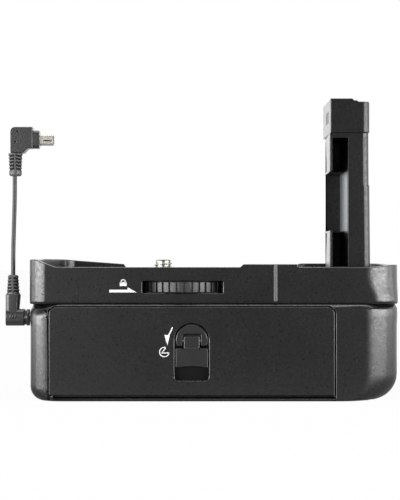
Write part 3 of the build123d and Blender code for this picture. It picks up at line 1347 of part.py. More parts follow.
with BuildPart() as lead_pin:
    rod(
        (LEFT_X - LEAD_STANDOFF, JACK_Y, JACK_Z), (1, 0, 0), LEAD_PIN_RADIUS,
        LEAD_STANDOFF + LEAD_PIN_LENGTH,
    )
    fillet(lead_pin.edges().group_by(Axis.X)[-1], radius=LEAD_PIN_RADIUS / 2)
lead_pin.part.label = "lead_pin"
export_step(lead_pin.part, "parts/lead_pin.step")

with BuildPart() as lead_collar:
    rod((collar_left_x, JACK_Y, JACK_Z), (1, 0, 0), PLUG_COLLAR_RADIUS, PLUG_COLLAR)
lead_collar.part.label = "lead_collar"
export_step(lead_collar.part, "parts/lead_collar.step")

with BuildPart() as lead_plug:
    rod(
        (LEAD_X - PLUG_BACK, JACK_Y, JACK_Z), (1, 0, 0), PLUG_RADIUS,
        collar_left_x - LEAD_X + PLUG_BACK,
    )
    fillet(lead_plug.edges().group_by(Axis.X)[0], radius=PLUG_RADIUS / 2)
    rod((LEAD_X, JACK_Y, JACK_Z), (0, 0, 1), PLUG_UP_RADIUS, PLUG_TOP_Z - JACK_Z)
lead_plug.part.label = "lead_plug"
export_step(lead_plug.part, "parts/lead_plug.step")

with BuildPart() as lead_relief_low:
    ribbed_sleeve(LEAD_X, PLUG_TOP_Z, RELIEF_TOP_Z, RELIEF_LOW_RADIUS, RELIEF_HIGH_RADIUS)
lead_relief_low.part.label = "lead_relief_low"
export_step(lead_relief_low.part, "parts/lead_relief_low.step")

lead_radii = []
for before, here, after in zip(lead_route, lead_route[1:], lead_route[2:]):
    inward_run = Vector(here) - Vector(before)
    onward_run = Vector(after) - Vector(here)
    half_turn = radians(inward_run.get_angle(onward_run)) / 2
    lead_radii.append(BEND_SHARE * min(inward_run.length, onward_run.length) / tan(half_turn))
print("lead bend radii", [round(radius, 1) for radius in lead_radii])

with BuildPart() as lead_cable:
    with BuildLine() as path:
        FilletPolyline(lead_route, radius=lead_radii)
    with BuildSketch(Plane.XY.offset(RELIEF_TOP_Z)):
        with Locations((LEAD_X, JACK_Y)):
            Circle(LEAD_RADIUS)
    sweep(path=path.line)
print("lead length", round(sum(run.length for run in path.edges()), 2))
lead_cable.part.label = "lead_cable"
export_step(lead_cable.part, "parts/lead_cable.step")

with BuildPart() as lead_relief_high:
    ribbed_sleeve(
        HEAD_X, HEAD_RELIEF_LOW_Z, HEAD_LOW_Z, HEAD_RELIEF_RADIUS, HEAD_RELIEF_TOP_RADIUS
    )
lead_relief_high.part.label = "lead_relief_high"
export_step(lead_relief_high.part, "parts/lead_relief_high.step")

with BuildPart() as lead_head:
    slab(
        (HEAD_LEFT_X, HEAD_RIGHT_X),
        (JACK_Y - HEAD_DEPTH / 2, JACK_Y + HEAD_DEPTH / 2),
        (HEAD_LOW_Z, HEAD_TOP_Z),
    )
    across = lead_head.edges().filter_by(Axis.Y)
    fillet(across.group_by(Axis.Z)[-1].sort_by(Axis.X)[0], radius=HEAD_ROUND)
    across = lead_head.edges().filter_by(Axis.Y)
    chamfer(across.group_by(Axis.Z)[0].sort_by(Axis.X)[-1], length=HEAD_CHAMFER)
lead_head.part.label = "lead_head"
export_step(lead_head.part, "parts/lead_head.step")

with BuildPart() as lead_sleeve:
    slab(
        (HEAD_RIGHT_X, SLEEVE_RIGHT_X),
        (JACK_Y - SLEEVE_DEPTH / 2, JACK_Y + SLEEVE_DEPTH / 2),
        (SLEEVE_LOW_Z, SLEEVE_TOP_Z),
    )
    fillet(lead_sleeve.edges().filter_by(Axis.X), radius=HEAD_ROUND)
lead_sleeve.part.label = "lead_sleeve"
export_step(lead_sleeve.part, "parts/lead_sleeve.step")

with BuildPart() as lead_connector:
    slab(
        (SLEEVE_RIGHT_X, CONNECTOR_RIGHT_X),
        (JACK_Y - CONNECTOR_DEPTH / 2, JACK_Y + CONNECTOR_DEPTH / 2),
        (CONNECTOR_LOW_Z, CONNECTOR_TOP_Z),
    )
    slab(
        (SLEEVE_RIGHT_X + CONNECTOR_WALL, CONNECTOR_RIGHT_X + OVERRUN),
        (JACK_Y - CONNECTOR_DEPTH / 2 + CONNECTOR_WALL, JACK_Y + CONNECTOR_DEPTH / 2 - CONNECTOR_WALL),
        (CONNECTOR_LOW_Z + CONNECTOR_WALL, CONNECTOR_TOP_Z - CONNECTOR_WALL),
        mode=Mode.SUBTRACT,
    )
lead_connector.part.label = "lead_connector"
export_step(lead_connector.part, "parts/lead_connector.step")

PIN_TONGUE = 0.7
with BuildPart() as connector_tongue:
    tongue_z = (CONNECTOR_LOW_Z + CONNECTOR_TOP_Z) / 2
    slab(
        (SLEEVE_RIGHT_X + CONNECTOR_WALL, CONNECTOR_RIGHT_X - CONNECTOR_WALL),
        (JACK_Y - CONNECTOR_DEPTH / 4, JACK_Y + CONNECTOR_DEPTH / 4),
        (tongue_z - PIN_TONGUE / 2, tongue_z + PIN_TONGUE / 2),
    )
connector_tongue.part.label = "connector_tongue"
export_step(connector_tongue.part, "parts/connector_tongue.step")
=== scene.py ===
import math

import bmesh
import bpy
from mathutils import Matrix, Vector


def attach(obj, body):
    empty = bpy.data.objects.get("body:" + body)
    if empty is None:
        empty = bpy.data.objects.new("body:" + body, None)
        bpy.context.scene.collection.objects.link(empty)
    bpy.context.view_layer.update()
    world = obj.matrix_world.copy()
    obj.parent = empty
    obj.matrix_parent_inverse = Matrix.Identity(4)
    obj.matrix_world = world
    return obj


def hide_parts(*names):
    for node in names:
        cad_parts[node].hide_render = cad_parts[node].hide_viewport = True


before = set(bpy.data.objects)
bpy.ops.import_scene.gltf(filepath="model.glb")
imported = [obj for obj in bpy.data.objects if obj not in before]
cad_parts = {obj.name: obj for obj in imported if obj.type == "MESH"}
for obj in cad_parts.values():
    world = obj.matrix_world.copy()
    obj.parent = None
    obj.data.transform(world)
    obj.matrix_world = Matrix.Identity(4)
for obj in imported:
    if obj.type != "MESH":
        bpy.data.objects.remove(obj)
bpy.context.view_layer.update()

# Camera, floor and light. A level view from behind the grip, with a plain pale floor that runs
# into a white backdrop. Two soft boxes stand at each side, a large one hangs overhead and a weak
# one stands beyond the grip.
mm = 0.001
CAMERA_PLACE = (12.8 * mm, -619.0 * mm, 51.2 * mm)
CAMERA_LENS = 127.8
CAMERA_NEAR = 0.01

scene = bpy.context.scene
scene.view_settings.view_transform = "Standard"
bpy.ops.object.camera_add(location=CAMERA_PLACE, rotation=(math.radians(90), 0, 0))
scene.camera = bpy.context.object
scene.camera.data.lens = CAMERA_LENS
scene.camera.data.clip_start = CAMERA_NEAR


def set_down():
    """Leaves edit mode, with nothing selected."""
    if bpy.context.object and bpy.context.object.mode == "EDIT":
        bpy.ops.object.mode_set(mode="OBJECT")
    bpy.ops.object.select_all(action="DESELECT")


def set_or_link(tree, value, socket):
    """Gives a socket a number, or the output of another node."""
    if isinstance(value, (int, float)):
        socket.default_value = value
    else:
        tree.links.new(value, socket)


def combined(tree, kind, one, other):
    """Two values added, multiplied or compared."""
    node = tree.nodes.new("ShaderNodeMath")
    node.operation = kind
    set_or_link(tree, one, node.inputs[0])
    set_or_link(tree, other, node.inputs[1])
    return node.outputs[0]


def ranged(tree, value, span, result, interpolation="LINEAR"):
    """A value taken from one span of numbers to another."""
    node = tree.nodes.new("ShaderNodeMapRange")
    node.interpolation_type = interpolation
    node.inputs["From Min"].default_value, node.inputs["From Max"].default_value = span
    node.inputs["To Min"].default_value, node.inputs["To Max"].default_value = result
    tree.links.new(value, node.inputs["Value"])
    return node.outputs[0]


def mixed(tree, share, under, over):
    """One shader laid over another by a share."""
    node = tree.nodes.new("ShaderNodeMixShader")
    for value, socket in zip((share, under, over), node.inputs):
        tree.links.new(value, socket)
    return node.outputs[0]


def depth_in(tree, coordinates):
    """The depth, along Y, in one kind of texture coordinates."""
    place = tree.nodes.new("ShaderNodeTexCoord")
    split = tree.nodes.new("ShaderNodeSeparateXYZ")
    tree.links.new(place.outputs[coordinates], split.inputs[0])
    return split.outputs["Y"]


def seen_by(tree):
    """1 where the camera looks at it, also through a clear surface, and 1 for a glossy ray."""
    path = tree.nodes.new("ShaderNodeLightPath")
    direct = combined(
        tree, "MAXIMUM", path.outputs["Is Camera Ray"], path.outputs["Is Transmission Ray"],
    )
    return direct, path.outputs["Is Glossy Ray"]


# The floor glows white to the camera. A glossy surface sees it white beyond the grip, and fading
# to dim in front of it.
FLOOR_SIZE = 8.0
FLOOR_WHITE = (0.86, 0.86, 0.86, 1.0)
FLOOR_FRONT = 0.08
FLOOR_FADE = (-0.10, 0.25)
BACKDROP_SHARE = 0.96

set_down()
bpy.ops.mesh.primitive_plane_add(size=FLOOR_SIZE)
floor = bpy.context.object
floor.name = "floor"
paper = bpy.data.materials.new("floor_paper")
paper.use_nodes = True
tree = paper.node_tree
tree.nodes.clear()
out = tree.nodes.new("ShaderNodeOutputMaterial")
matt = tree.nodes.new("ShaderNodeBsdfDiffuse")
matt.inputs["Color"].default_value = FLOOR_WHITE
glow = tree.nodes.new("ShaderNodeEmission")
direct, glossy = seen_by(tree)
fade = ranged(tree, depth_in(tree, "Object"), FLOOR_FADE, (FLOOR_FRONT, 1.0))
tree.links.new(combined(tree, "MAXIMUM", fade, direct), glow.inputs["Strength"])
seen = combined(tree, "MAXIMUM", direct, glossy)
share = combined(tree, "MULTIPLY", seen, BACKDROP_SHARE)
tree.links.new(mixed(tree, share, matt.outputs[0], glow.outputs[0]), out.inputs[0])
floor.data.materials.append(paper)

# The room is white to the camera all round, and weak and even as a light. A glossy surface sees it
# white beyond the grip and dim in front of it.
ROOM_WHITE = (1, 1, 1, 1)
ROOM_LEVEL = 0.20
ROOM_FRONT = 0.07
ROOM_FADE = (-0.25, 0.55)


def background(tree, strength):
    """White air of a strength."""
    node = tree.nodes.new("ShaderNodeBackground")
    node.inputs["Color"].default_value = ROOM_WHITE
    set_or_link(tree, strength, node.inputs["Strength"])
    return node.outputs[0]


room = bpy.data.worlds.new("room")
scene.world = room
room.use_nodes = True
tree = room.node_tree
tree.nodes.clear()
out = tree.nodes.new("ShaderNodeOutputWorld")
direct, glossy = seen_by(tree)
fade = ranged(tree, depth_in(tree, "Generated"), ROOM_FADE, (ROOM_FRONT, 1.0), "SMOOTHSTEP")
air = mixed(tree, glossy, background(tree, ROOM_LEVEL), background(tree, fade))
tree.links.new(mixed(tree, direct, air, background(tree, 1.0)), out.inputs[0])

# Each soft box: name, place, the point that it is turned to, width, height and level
for name, place, aim, width, height, level in (
        ("left_box", (-0.575, -0.482, 0.085), (0, 0, 0.085), 0.86, 0.18, 11.5),
        ("right_box", (0.612, -0.434, 0.100), (0, 0, 0.085), 0.76, 0.22, 8.8),
        ("left_side_box", (-0.76, 0.07, 0.11), (0, 0, 0.11), 0.40, 0.22, 3.2),
        ("right_side_box", (0.76, 0.05, 0.11), (0, 0, 0.11), 0.40, 0.22, 2.6),
        ("top_box", (0.0, -0.12, 0.86), (0, 0, 0.04), 0.70, 0.70, 3.0),
        ("back_box", (-0.10, 1.20, 0.35), (0, 0, 0.10), 1.20, 0.70, 1.1)):
    set_down()
    bpy.ops.object.light_add(type="AREA", location=place)
    box = bpy.context.object
    box.name = name
    box.data.shape = "RECTANGLE"
    box.data.size, box.data.size_y = width, height
    box.data.energy = level * math.pi * width * height
    box.rotation_euler = (Vector(aim) - Vector(place)).to_track_quat("-Z", "Y").to_euler()
    box.visible_camera = False


# Connecting lead. A thin rubber cable between two moulded plugs: the lower one goes into the jack
# in the grip's left wall, the upper one has a metal connector for the camera's side.
LEAD_ROUTE = [
    (-51.6, -7.0, 42.7), (-51.6, -7.0, 50.4), (-51.33, -7.0, 59.9), (-51.05, -7.0, 69.0),
    (-51.05, -7.0, 76.6),
]
LEAD_RADIUS = 0.75 * mm
LEAD_X, LEAD_Y, JACK_Z, HEAD_X = -51.6, -7.0, 28.0, -50.8
BLACK_PVC = (0.020, 0.020, 0.021)
JACKET_BLACK = (0.034, 0.034, 0.036)
NICKEL = (0.56, 0.55, 0.52)


NOISE_SPAN = (0.3, 0.7)
PIT_SPAN = (0.08, 0.22)
WORN_SPAN = (0.90, 0.995)
WORN_REACH = 0.35 * mm
GLOSS_SPREAD = 0.03


def noise(tree, place, size, detail, roughness=0.5):
    """Noise with lumps of a size in millimetres."""
    node = tree.nodes.new("ShaderNodeTexNoise")
    node.inputs["Scale"].default_value = 1 / (size * mm)
    node.inputs["Detail"].default_value = detail
    node.inputs["Roughness"].default_value = roughness
    tree.links.new(place, node.inputs["Vector"])
    return node.outputs["Fac"]


def edge_wear(tree, wear):
    """A value that rises to the wear where the surface bends sharply."""
    edge = tree.nodes.new("ShaderNodeBevel")
    edge.samples = 4
    edge.inputs["Radius"].default_value = WORN_REACH
    flat = tree.nodes.new("ShaderNodeNewGeometry")
    turn = tree.nodes.new("ShaderNodeVectorMath")
    turn.operation = "DOT_PRODUCT"
    tree.links.new(edge.outputs[0], turn.inputs[0])
    tree.links.new(flat.outputs["Normal"], turn.inputs[1])
    return ranged(tree, turn.outputs["Value"], WORN_SPAN, (wear, 0.0))


def surface(name, colour, roughness, grain=0.35, depth=0.01, tone=0.12, wear=0.0,
            metallic=0.0, speckle=0.0, patch=14.0, shine=0.5):
    """Finish with a fine grain of a size and depth in millimetres, an uneven tone, paler worn
    edges and, with a speckle, small dark pits."""
    material = bpy.data.materials.new(name)
    material.use_nodes = True
    tree = material.node_tree
    shader = tree.nodes["Principled BSDF"]
    shader.inputs["Metallic"].default_value = metallic
    shader.inputs["IOR"].default_value = 1.55
    shader.inputs["Specular IOR Level"].default_value = shine
    place = tree.nodes.new("ShaderNodeTexCoord").outputs["Object"]
    fine = noise(tree, place, grain, 3.0, 0.65)
    mottle = noise(tree, place, 2.4 * grain, 1.0)
    broad = noise(tree, place, patch, 2.0)
    uneven = combined(
        tree, "MULTIPLY", ranged(tree, mottle, NOISE_SPAN, (1 - tone, 1 + tone)),
        ranged(tree, broad, NOISE_SPAN, (1 - tone / 2, 1 + tone / 2)),
    )
    level = combined(
        tree, "MULTIPLY", ranged(tree, fine, NOISE_SPAN, (1 - tone, 1 + tone)), uneven,
    )
    if speckle:
        dots = tree.nodes.new("ShaderNodeTexVoronoi")
        dots.inputs["Scale"].default_value = 1 / (3.6 * grain * mm)
        tree.links.new(place, dots.inputs["Vector"])
        pits = dots.outputs["Distance"]
        level = combined(
            tree, "MULTIPLY", level, ranged(tree, pits, PIT_SPAN, (1 - speckle, 1.0)),
        )
        glint = combined(
            tree, "MULTIPLY", ranged(tree, pits, PIT_SPAN, (shine * (1 - speckle), shine)),
            ranged(tree, mottle, NOISE_SPAN, (0.90, 1.10)),
        )
        tree.links.new(glint, shader.inputs["Specular IOR Level"])
    gloss = ranged(
        tree, mottle, NOISE_SPAN, (roughness + GLOSS_SPREAD, roughness - GLOSS_SPREAD),
    )
    if wear:
        level = combined(tree, "ADD", level, edge_wear(tree, wear))
    tint = tree.nodes.new("ShaderNodeVectorMath")
    tint.operation = "SCALE"
    tint.inputs[0].default_value = colour
    tree.links.new(level, tint.inputs["Scale"])
    bump = tree.nodes.new("ShaderNodeBump")
    bump.inputs["Strength"].default_value = 1.0
    bump.inputs["Distance"].default_value = depth * mm
    tree.links.new(fine, bump.inputs["Height"])
    tree.links.new(tint.outputs[0], shader.inputs["Base Color"])
    tree.links.new(gloss, shader.inputs["Roughness"])
    tree.links.new(bump.outputs[0], shader.inputs["Normal"])
    return material


def block(name, x, y, z):
    """A block between two places along each axis, in millimetres, with its size in its mesh."""
    set_down()
    low, high = Vector((x[0], y[0], z[0])) * mm, Vector((x[1], y[1], z[1])) * mm
    bpy.ops.mesh.primitive_cube_add(size=1, location=(low + high) / 2, scale=high - low)
    piece = bpy.context.object
    piece.name = piece.data.name = name
    bpy.ops.object.transform_apply(location=True, rotation=True, scale=True)
    return piece


def turned(name, start, along, radii, length, sides=48):
    """A round bar from a point along a direction, tapered if it has two radii, in millimetres."""
    set_down()
    start, along = Vector(start) * mm, Vector(along).normalized()
    bpy.ops.mesh.primitive_cone_add(
        vertices=sides, radius1=radii[0] * mm, radius2=radii[-1] * mm, depth=length * mm,
        location=start + along * length * mm / 2,
        rotation=along.to_track_quat("Z", "Y").to_euler(),
    )
    piece = bpy.context.object
    piece.name = piece.data.name = name
    bpy.ops.object.transform_apply(location=True, rotation=True, scale=True)
    return piece


def choose(piece, kind, test):
    """In edit mode, only the parts of a kind whose middle, in millimetres, passes the test."""
    set_down()
    piece.select_set(True)
    bpy.context.view_layer.objects.active = piece
    bpy.ops.object.mode_set(mode="EDIT")
    bpy.ops.mesh.select_mode(type={"verts": "VERT", "edges": "EDGE", "faces": "FACE"}[kind])
    bpy.ops.mesh.select_all(action="DESELECT")
    shape = bmesh.from_edit_mesh(piece.data)
    for part in getattr(shape, kind):
        if kind == "verts":
            middle = part.co
        elif kind == "edges":
            middle = (part.verts[0].co + part.verts[1].co) / 2
        else:
            middle = part.calc_center_median()
        if test(middle / mm, part):
            part.select_set(True)
    bmesh.update_edit_mesh(piece.data)


def shift(piece, test, move):
    """Moves the corners whose place passes a test, in millimetres."""
    choose(piece, "verts", lambda middle, vert: test(middle))
    bpy.ops.transform.translate(value=tuple(reach * mm for reach in move))
    set_down()


def lies_along(axis):
    """Test for edges that run along an axis."""
    def test(middle, edge):
        run = (edge.verts[1].co - edge.verts[0].co).normalized()
        return abs(run[axis]) > 0.99
    return test


def round_edges(piece, test, radius, segments=4):
    """Rounds the edges that pass a test to a radius in millimetres."""
    choose(piece, "edges", test)
    bpy.ops.mesh.bevel(offset=radius * mm, segments=segments, affect="EDGES", clamp_overlap=True)
    set_down()


def join_solid(piece, other, kind="UNION"):
    """Joins another solid to a piece, or cuts the piece by it, and uses the other up."""
    set_down()
    bpy.context.view_layer.objects.active = piece
    change = piece.modifiers.new("change", "BOOLEAN")
    change.operation = kind
    change.solver = "EXACT"
    change.object = other
    bpy.ops.object.modifier_apply(modifier=change.name)
    bpy.data.objects.remove(other)
    return piece


def cut_away(piece, other):
    """Cuts another solid away from a piece."""
    return join_solid(piece, other, "DIFFERENCE")


def put_on(piece, other):
    """Makes another closed shape part of a piece, as it stands, and uses the other up."""
    set_down()
    other.select_set(True)
    piece.select_set(True)
    bpy.context.view_layer.objects.active = piece
    bpy.ops.object.join()


FLAT_ANGLE, SMOOTH_ANGLE = math.radians(0.5), math.radians(40)
PINHOLE_SIDES = 12


def soften(piece, width, segments=2, angle=35, clean=0.015):
    """Merges doubles, closes pinholes, puts a small round on every sharp edge, and shades it."""
    choose(piece, "verts", lambda middle, vert: True)
    bpy.ops.mesh.remove_doubles(threshold=clean * mm)
    bpy.ops.mesh.dissolve_degenerate(threshold=clean * mm)
    bpy.ops.mesh.dissolve_limited(angle_limit=FLAT_ANGLE)
    bpy.ops.mesh.select_all(action="DESELECT")
    bpy.ops.mesh.select_non_manifold()
    bpy.ops.mesh.fill_holes(sides=PINHOLE_SIDES)
    set_down()
    piece.select_set(True)
    bpy.context.view_layer.objects.active = piece
    if width:
        edge = piece.modifiers.new("edge", "BEVEL")
        edge.width = width * mm
        edge.segments = segments
        edge.limit_method = "ANGLE"
        edge.angle_limit = math.radians(angle)
        edge.use_clamp_overlap = False
        edge.miter_outer = "MITER_ARC"
        bpy.ops.object.modifier_apply(modifier=edge.name)
    bpy.ops.object.shade_smooth_by_angle(angle=SMOOTH_ANGLE)
    even = piece.modifiers.new("even", "WEIGHTED_NORMAL")
    even.keep_sharp = True
    bpy.ops.object.modifier_apply(modifier=even.name)
    return piece


def fit(piece, body, material, slot, *nodes):
    """Gives a piece its material, its body and the nodes that it stands for; the slot is not used.
    """
    piece.data.materials.clear()
    piece.data.materials.append(material)
    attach(piece, body)
    if nodes:
        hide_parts(*nodes)
    return piece


lead_plastic = surface(
    "lead_plastic", BLACK_PVC, 0.34, grain=0.25, depth=0.004, wear=0.8, shine=0.8,
)
lead_jacket = surface("lead_jacket", JACKET_BLACK, 0.42, grain=0.30, depth=0.002, tone=0.05)
nickel = surface("nickel", NICKEL, 0.30, grain=0.12, depth=0.002, tone=0.10, metallic=1.0)

line = bpy.data.curves.new("cable_line", "CURVE")
line.dimensions = "3D"
line.bevel_depth = LEAD_RADIUS
line.bevel_resolution = 6
line.resolution_u = 12
line.use_fill_caps = True
spline = line.splines.new("NURBS")
spline.points.add(len(LEAD_ROUTE) - 1)
for point, place in zip(spline.points, LEAD_ROUTE):
    point.co = (*(Vector(place) * mm), 1.0)
spline.order_u = 3
spline.use_endpoint_u = True
cable = bpy.data.objects.new("cable", line)
scene.collection.objects.link(cable)
line.materials.append(lead_jacket)
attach(cable, "lead")
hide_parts("lead_cable")

# Lower plug: an upright sleeve on a squared barrel that lies along the jack, with three slanted
# grip ribs behind, and a necked collar against the housing
RIB_START, RIB_STEP, RIBS = -52.5, 0.8, 3


def stands(middle, edge):
    """Test for edges that stand, also where they lean a little."""
    return abs(edge.verts[1].co.z - edge.verts[0].co.z) > 5 * mm


plug = block("plug", (-54.0, -47.6), (-9.85, -4.15), (25.15, 30.95))
round_edges(plug, lies_along(0), 1.9, 4)
upright = block("plug_upright", (-54.1, -49.3), (-9.5, -4.5), (28.5, 36.0))
shift(upright, lambda middle: middle.z > 35 and middle.x > -50, (0.25, 0, 0))
shift(upright, lambda middle: middle.z < 29 and middle.x > -50, (-0.35, 0, 0))
round_edges(upright, stands, 1.3, 4)
join_solid(plug, upright)
soften(plug, 0.22, 3)
for number in range(RIBS):
    x = RIB_START + number * RIB_STEP
    rib = block("plug_rib", (x - 0.2, x + 0.2), (-10.3, -9.5), (27.6, 29.3))
    shift(rib, lambda middle: middle.z > 28, (0.6, 0, 0))
    put_on(plug, soften(rib, 0.08))
fit(plug, "lead", lead_plastic, "lead", "lead_plug")

collar = turned("plug_collar", (-46.95, LEAD_Y, JACK_Z), (1, 0, 0), (2.85,), 1.1)
join_solid(collar, turned("collar_neck", (-47.7, LEAD_Y, JACK_Z), (1, 0, 0), (2.5,), 0.9))
soften(collar, 0.2, 3)
fit(collar, "lead", lead_plastic, "lead", "lead_collar")

# Strain reliefs: tapered rubber sleeves, slotted from both sides so that they bend, each on a
# near-black core that shows through its slots as painted shade
RELIEF_SLOTS = 5
RELIEF_END = 0.7
SLOT_MIDDLE, SLOT_REACH, SLOT_DEEP, SLOT_HALF = 1.95, 1.55, 3, 0.31
SLOT_DROOP = -0.55


def slotted_relief(name, x, low_z, top_z, radii, first, step):
    """Strain relief, tapered to its free end, with drooping slots each side of its spine."""
    relief = turned(name, (x, LEAD_Y, low_z), (0, 0, 1), radii, top_z - low_z, sides=40)
    free_z = top_z if radii[1] < radii[0] else low_z
    round_edges(relief, lambda middle, edge: abs(middle.z - free_z) < 0.05, RELIEF_END, 3)
    for number in range(RELIEF_SLOTS):
        z = first + number * step
        for side in (-1, 1):
            middle_x = x + side * SLOT_MIDDLE
            gap = block(
                "relief_slot", (middle_x - SLOT_REACH, middle_x + SLOT_REACH),
                (LEAD_Y - SLOT_DEEP, LEAD_Y + SLOT_DEEP), (z - SLOT_HALF, z + SLOT_HALF),
            )
            shift(gap, lambda middle: side * (middle.x - x) > 1.6, (0, 0, SLOT_DROOP))
            cut_away(relief, gap)
    soften(relief, 0.14)
    return relief


# The sleeves' own black rubber, raised to a paler grey as a painted highlight for the light that
# the slotted ribs catch
relief_rubber_painted_highlight = surface(
    "relief_rubber_painted_highlight", (0.075, 0.075, 0.078), 0.34, grain=0.2, depth=0.004, wear=0.8,
)
relief_low = slotted_relief("relief_low", LEAD_X, 36.0, 42.7, (2.35, 1.8), 37.15, 1.1)
fit(relief_low, "lead", relief_rubber_painted_highlight, "lead", "lead_relief_low")
relief_high = slotted_relief("relief_high", HEAD_X, 76.6, 84.5, (2.15, 2.5), 79.2, 1.13)
fit(relief_high, "lead", relief_rubber_painted_highlight, "lead", "lead_relief_high")
# The cores are painted shade: near-black, dull rubber, so that the insides of the slots read dark
core_painted_shade = surface("core_painted_shade", (0.003, 0.003, 0.003), 0.80, grain=0.3, depth=0.006)
for name, x, low_z, height, radii in (
        ("relief_core_low", LEAD_X, 36.2, 5.6, (2.10, 1.70)),
        ("relief_core_high", HEAD_X, 77.7, 6.7, (1.94, 2.24))):
    core = turned(name, (x, LEAD_Y, low_z), (0, 0, 1), radii, height, sides=32)
    fit(soften(core, 0.1), "lead", core_painted_shade, "lead")

# Upper plug: an angled head with two tiny moulding dots, a sleeve and a tin-plated connector
HEAD_X_SPAN, HEAD_TOP = (-52.3, -44.6), 93.45
DOT_RADIUS, DOT_DEPTH = 0.17, 0.25
head = block("head", HEAD_X_SPAN, (-10.5, -3.5), (84.5, HEAD_TOP))
round_edges(head, lambda middle, edge: middle.x < -52.25 and middle.z > 93.4, 1.6, 5)
waist = block("head_waist", (-48.3, -44.0), (-12, -2), (84.0, 86.1))
shift(waist, lambda middle: middle.x < -47 and middle.z > 85, (1.9, 0, 0))
cut_away(head, waist)
for x, z in ((-49.8, 92.0), (-50.6, 88.4)):
    cut_away(head, turned("head_dot", (x, -10.6, z), (0, 1, 0), (DOT_RADIUS,), DOT_DEPTH, sides=16))
soften(head, 0.35, 3)
fit(head, "lead", lead_plastic, "lead", "lead_head")

sleeve = block("head_sleeve", (-44.6, -42.4), (-9.8, -4.2), (86.1, 92.3))
round_edges(sleeve, lies_along(0), 1.3, 5)
soften(sleeve, 0.25)
fit(sleeve, "lead", lead_plastic, "lead", "lead_sleeve")

TIN_WALL, MOUTH_DEPTH, NOTCH_DEPTH = 0.35, 4.3, 0.7
connector = block("connector", (-42.4, -37.6), (-9.2, -4.8), (87.2, 90.8))
round_edges(connector, lies_along(0), 0.7, 3)
choose(connector, "faces", lambda middle, face: middle.x > -37.7)
bpy.ops.mesh.inset(thickness=TIN_WALL * mm)
bpy.ops.mesh.extrude_region_move(TRANSFORM_OT_translate={"value": (-MOUTH_DEPTH * mm, 0, 0)})
set_down()
for y in (-9.5, -4.75):
    notch = block("connector_notch", (-41.0, -38.1), (y, y + NOTCH_DEPTH), (88.55, 88.95))
    cut_away(connector, notch)
soften(connector, 0.06)
bright_tin = surface(
    "bright_tin", (0.50, 0.48, 0.44), 0.42, grain=0.30, depth=0.003, tone=0.05, metallic=0.7,
)
fit(connector, "lead", bright_tin, "steel", "lead_connector")


# Lower housing. The moulded tub of sandblasted black plastic that makes two thirds of the height,
# with shouldered ends, the door's opening behind and the recess for the grip's rubber skin.
LEFT, RIGHT, REAR, FRONT = -45.4, 80.8, -19.0, 44.0
GRIP_OUT, GRIP_LEFT, GRIP_FOOT = 2.5, RIGHT - 30.0, RIGHT - 35.0
CUT_X, CUT_Y = 6.4, 22.0
SPLIT = 32.8
WALL = 2.0
CORNER_STEPS = 8
LEVELS = (
    0.0, 0.12, 0.4, 0.8, 1.4, 2.2, 3.2, 4.4, 5.6, 7.0, 9.0, 12.0, 20.0, 25.0, 28.6, 29.8, 30.8,
    31.4, 32.8,
)
SHOULDER_START, SHOULDER_RISE = 27.5, 5.3
# How far the side walls stand in, and the rounds at the foot and at the shoulder of each side
LEFT_IN, RIGHT_IN, RIGHT_IN_TOP = 0.35, 0.15, 26
LEFT_ROUNDS, RIGHT_ROUNDS = (4.8, 0.5), (9.0, 0.7)
REAR_ROUNDS, FRONT_ROUNDS = (0.3, 0.9), (1.6, 0.7)
SANDBLASTED = (0.0052, 0.0052, 0.0055)


def rounded(corners):
    """Points round a closed outline whose corners are (x, y, radius), in millimetres."""
    points = []
    for number, (x, y, radius) in enumerate(corners):
        here = Vector((x, y))
        back = (Vector(corners[number - 1][:2]) - here).normalized()
        on = (Vector(corners[(number + 1) % len(corners)][:2]) - here).normalized()
        half = math.acos(max(-1, min(1, back.dot(on)))) / 2
        reach = radius / math.tan(half)
        centre = here + (back + on).normalized() * radius / math.sin(half)
        first, last = here + back * reach - centre, here + on * reach - centre
        sweep = first.angle_signed(last)
        start = math.atan2(first.y, first.x)
        for step in range(CORNER_STEPS + 1):
            angle = start - sweep * step / CORNER_STEPS
            points.append((
                centre.x + radius * math.cos(angle), centre.y + radius * math.sin(angle),
            ))
    return points


def housing_outline(left, right, rear, front, inset=0.0, right_round=9.0, left_round=6.0):
    """The housing's outline from above at one height, with its hand grip bulging at the front."""
    return rounded([
        (left, rear, left_round - inset), (right, rear, right_round - inset),
        (right, front + GRIP_OUT, 15.0 - inset), (GRIP_LEFT + inset, front + GRIP_OUT, 9.0 - inset),
        (GRIP_FOOT + inset, front, 5.0), (left + CUT_X, front, 8.0 - inset),
        (left, CUT_Y - inset, 8.0 - inset),
    ])


def spot(vert):
    """Where a corner lies seen from above, by which it is known again."""
    return round(vert.co.x / mm, 4), round(vert.co.y / mm, 4)


def ringed(name, rings, closed=False):
    """A skin through rings of (x, y, z) points, capped at its ends or, if closed, joined up."""
    set_down()
    bpy.ops.mesh.primitive_circle_add(
        vertices=len(rings[0]), radius=1, fill_type="NOTHING" if closed else "NGON",
    )
    piece = bpy.context.object
    piece.name = piece.data.name = name
    bpy.ops.object.mode_set(mode="EDIT")
    for number, points in enumerate(rings):
        if number:
            bpy.ops.mesh.extrude_region_move(TRANSFORM_OT_translate={"value": (0, 0, mm)})
        shape = bmesh.from_edit_mesh(piece.data)
        ring = [vert for vert in shape.verts if vert.select]
        if number:
            ring.sort(key=lambda vert: order[spot(vert)])
        else:
            ring.sort(key=lambda vert: math.atan2(vert.co.y, vert.co.x))
        order = {}
        for place, (vert, point) in enumerate(zip(ring, points)):
            vert.co = Vector(point) * mm
            order[spot(vert)] = place
        bmesh.update_edit_mesh(piece.data)
    if closed:
        bpy.ops.mesh.select_mode(type="EDGE")
        bpy.ops.mesh.select_all(action="DESELECT")
        bpy.ops.mesh.select_non_manifold()
        bpy.ops.mesh.bridge_edge_loops()
    bpy.ops.mesh.select_all(action="SELECT")
    bpy.ops.mesh.normals_make_consistent(inside=False)
    set_down()
    return piece


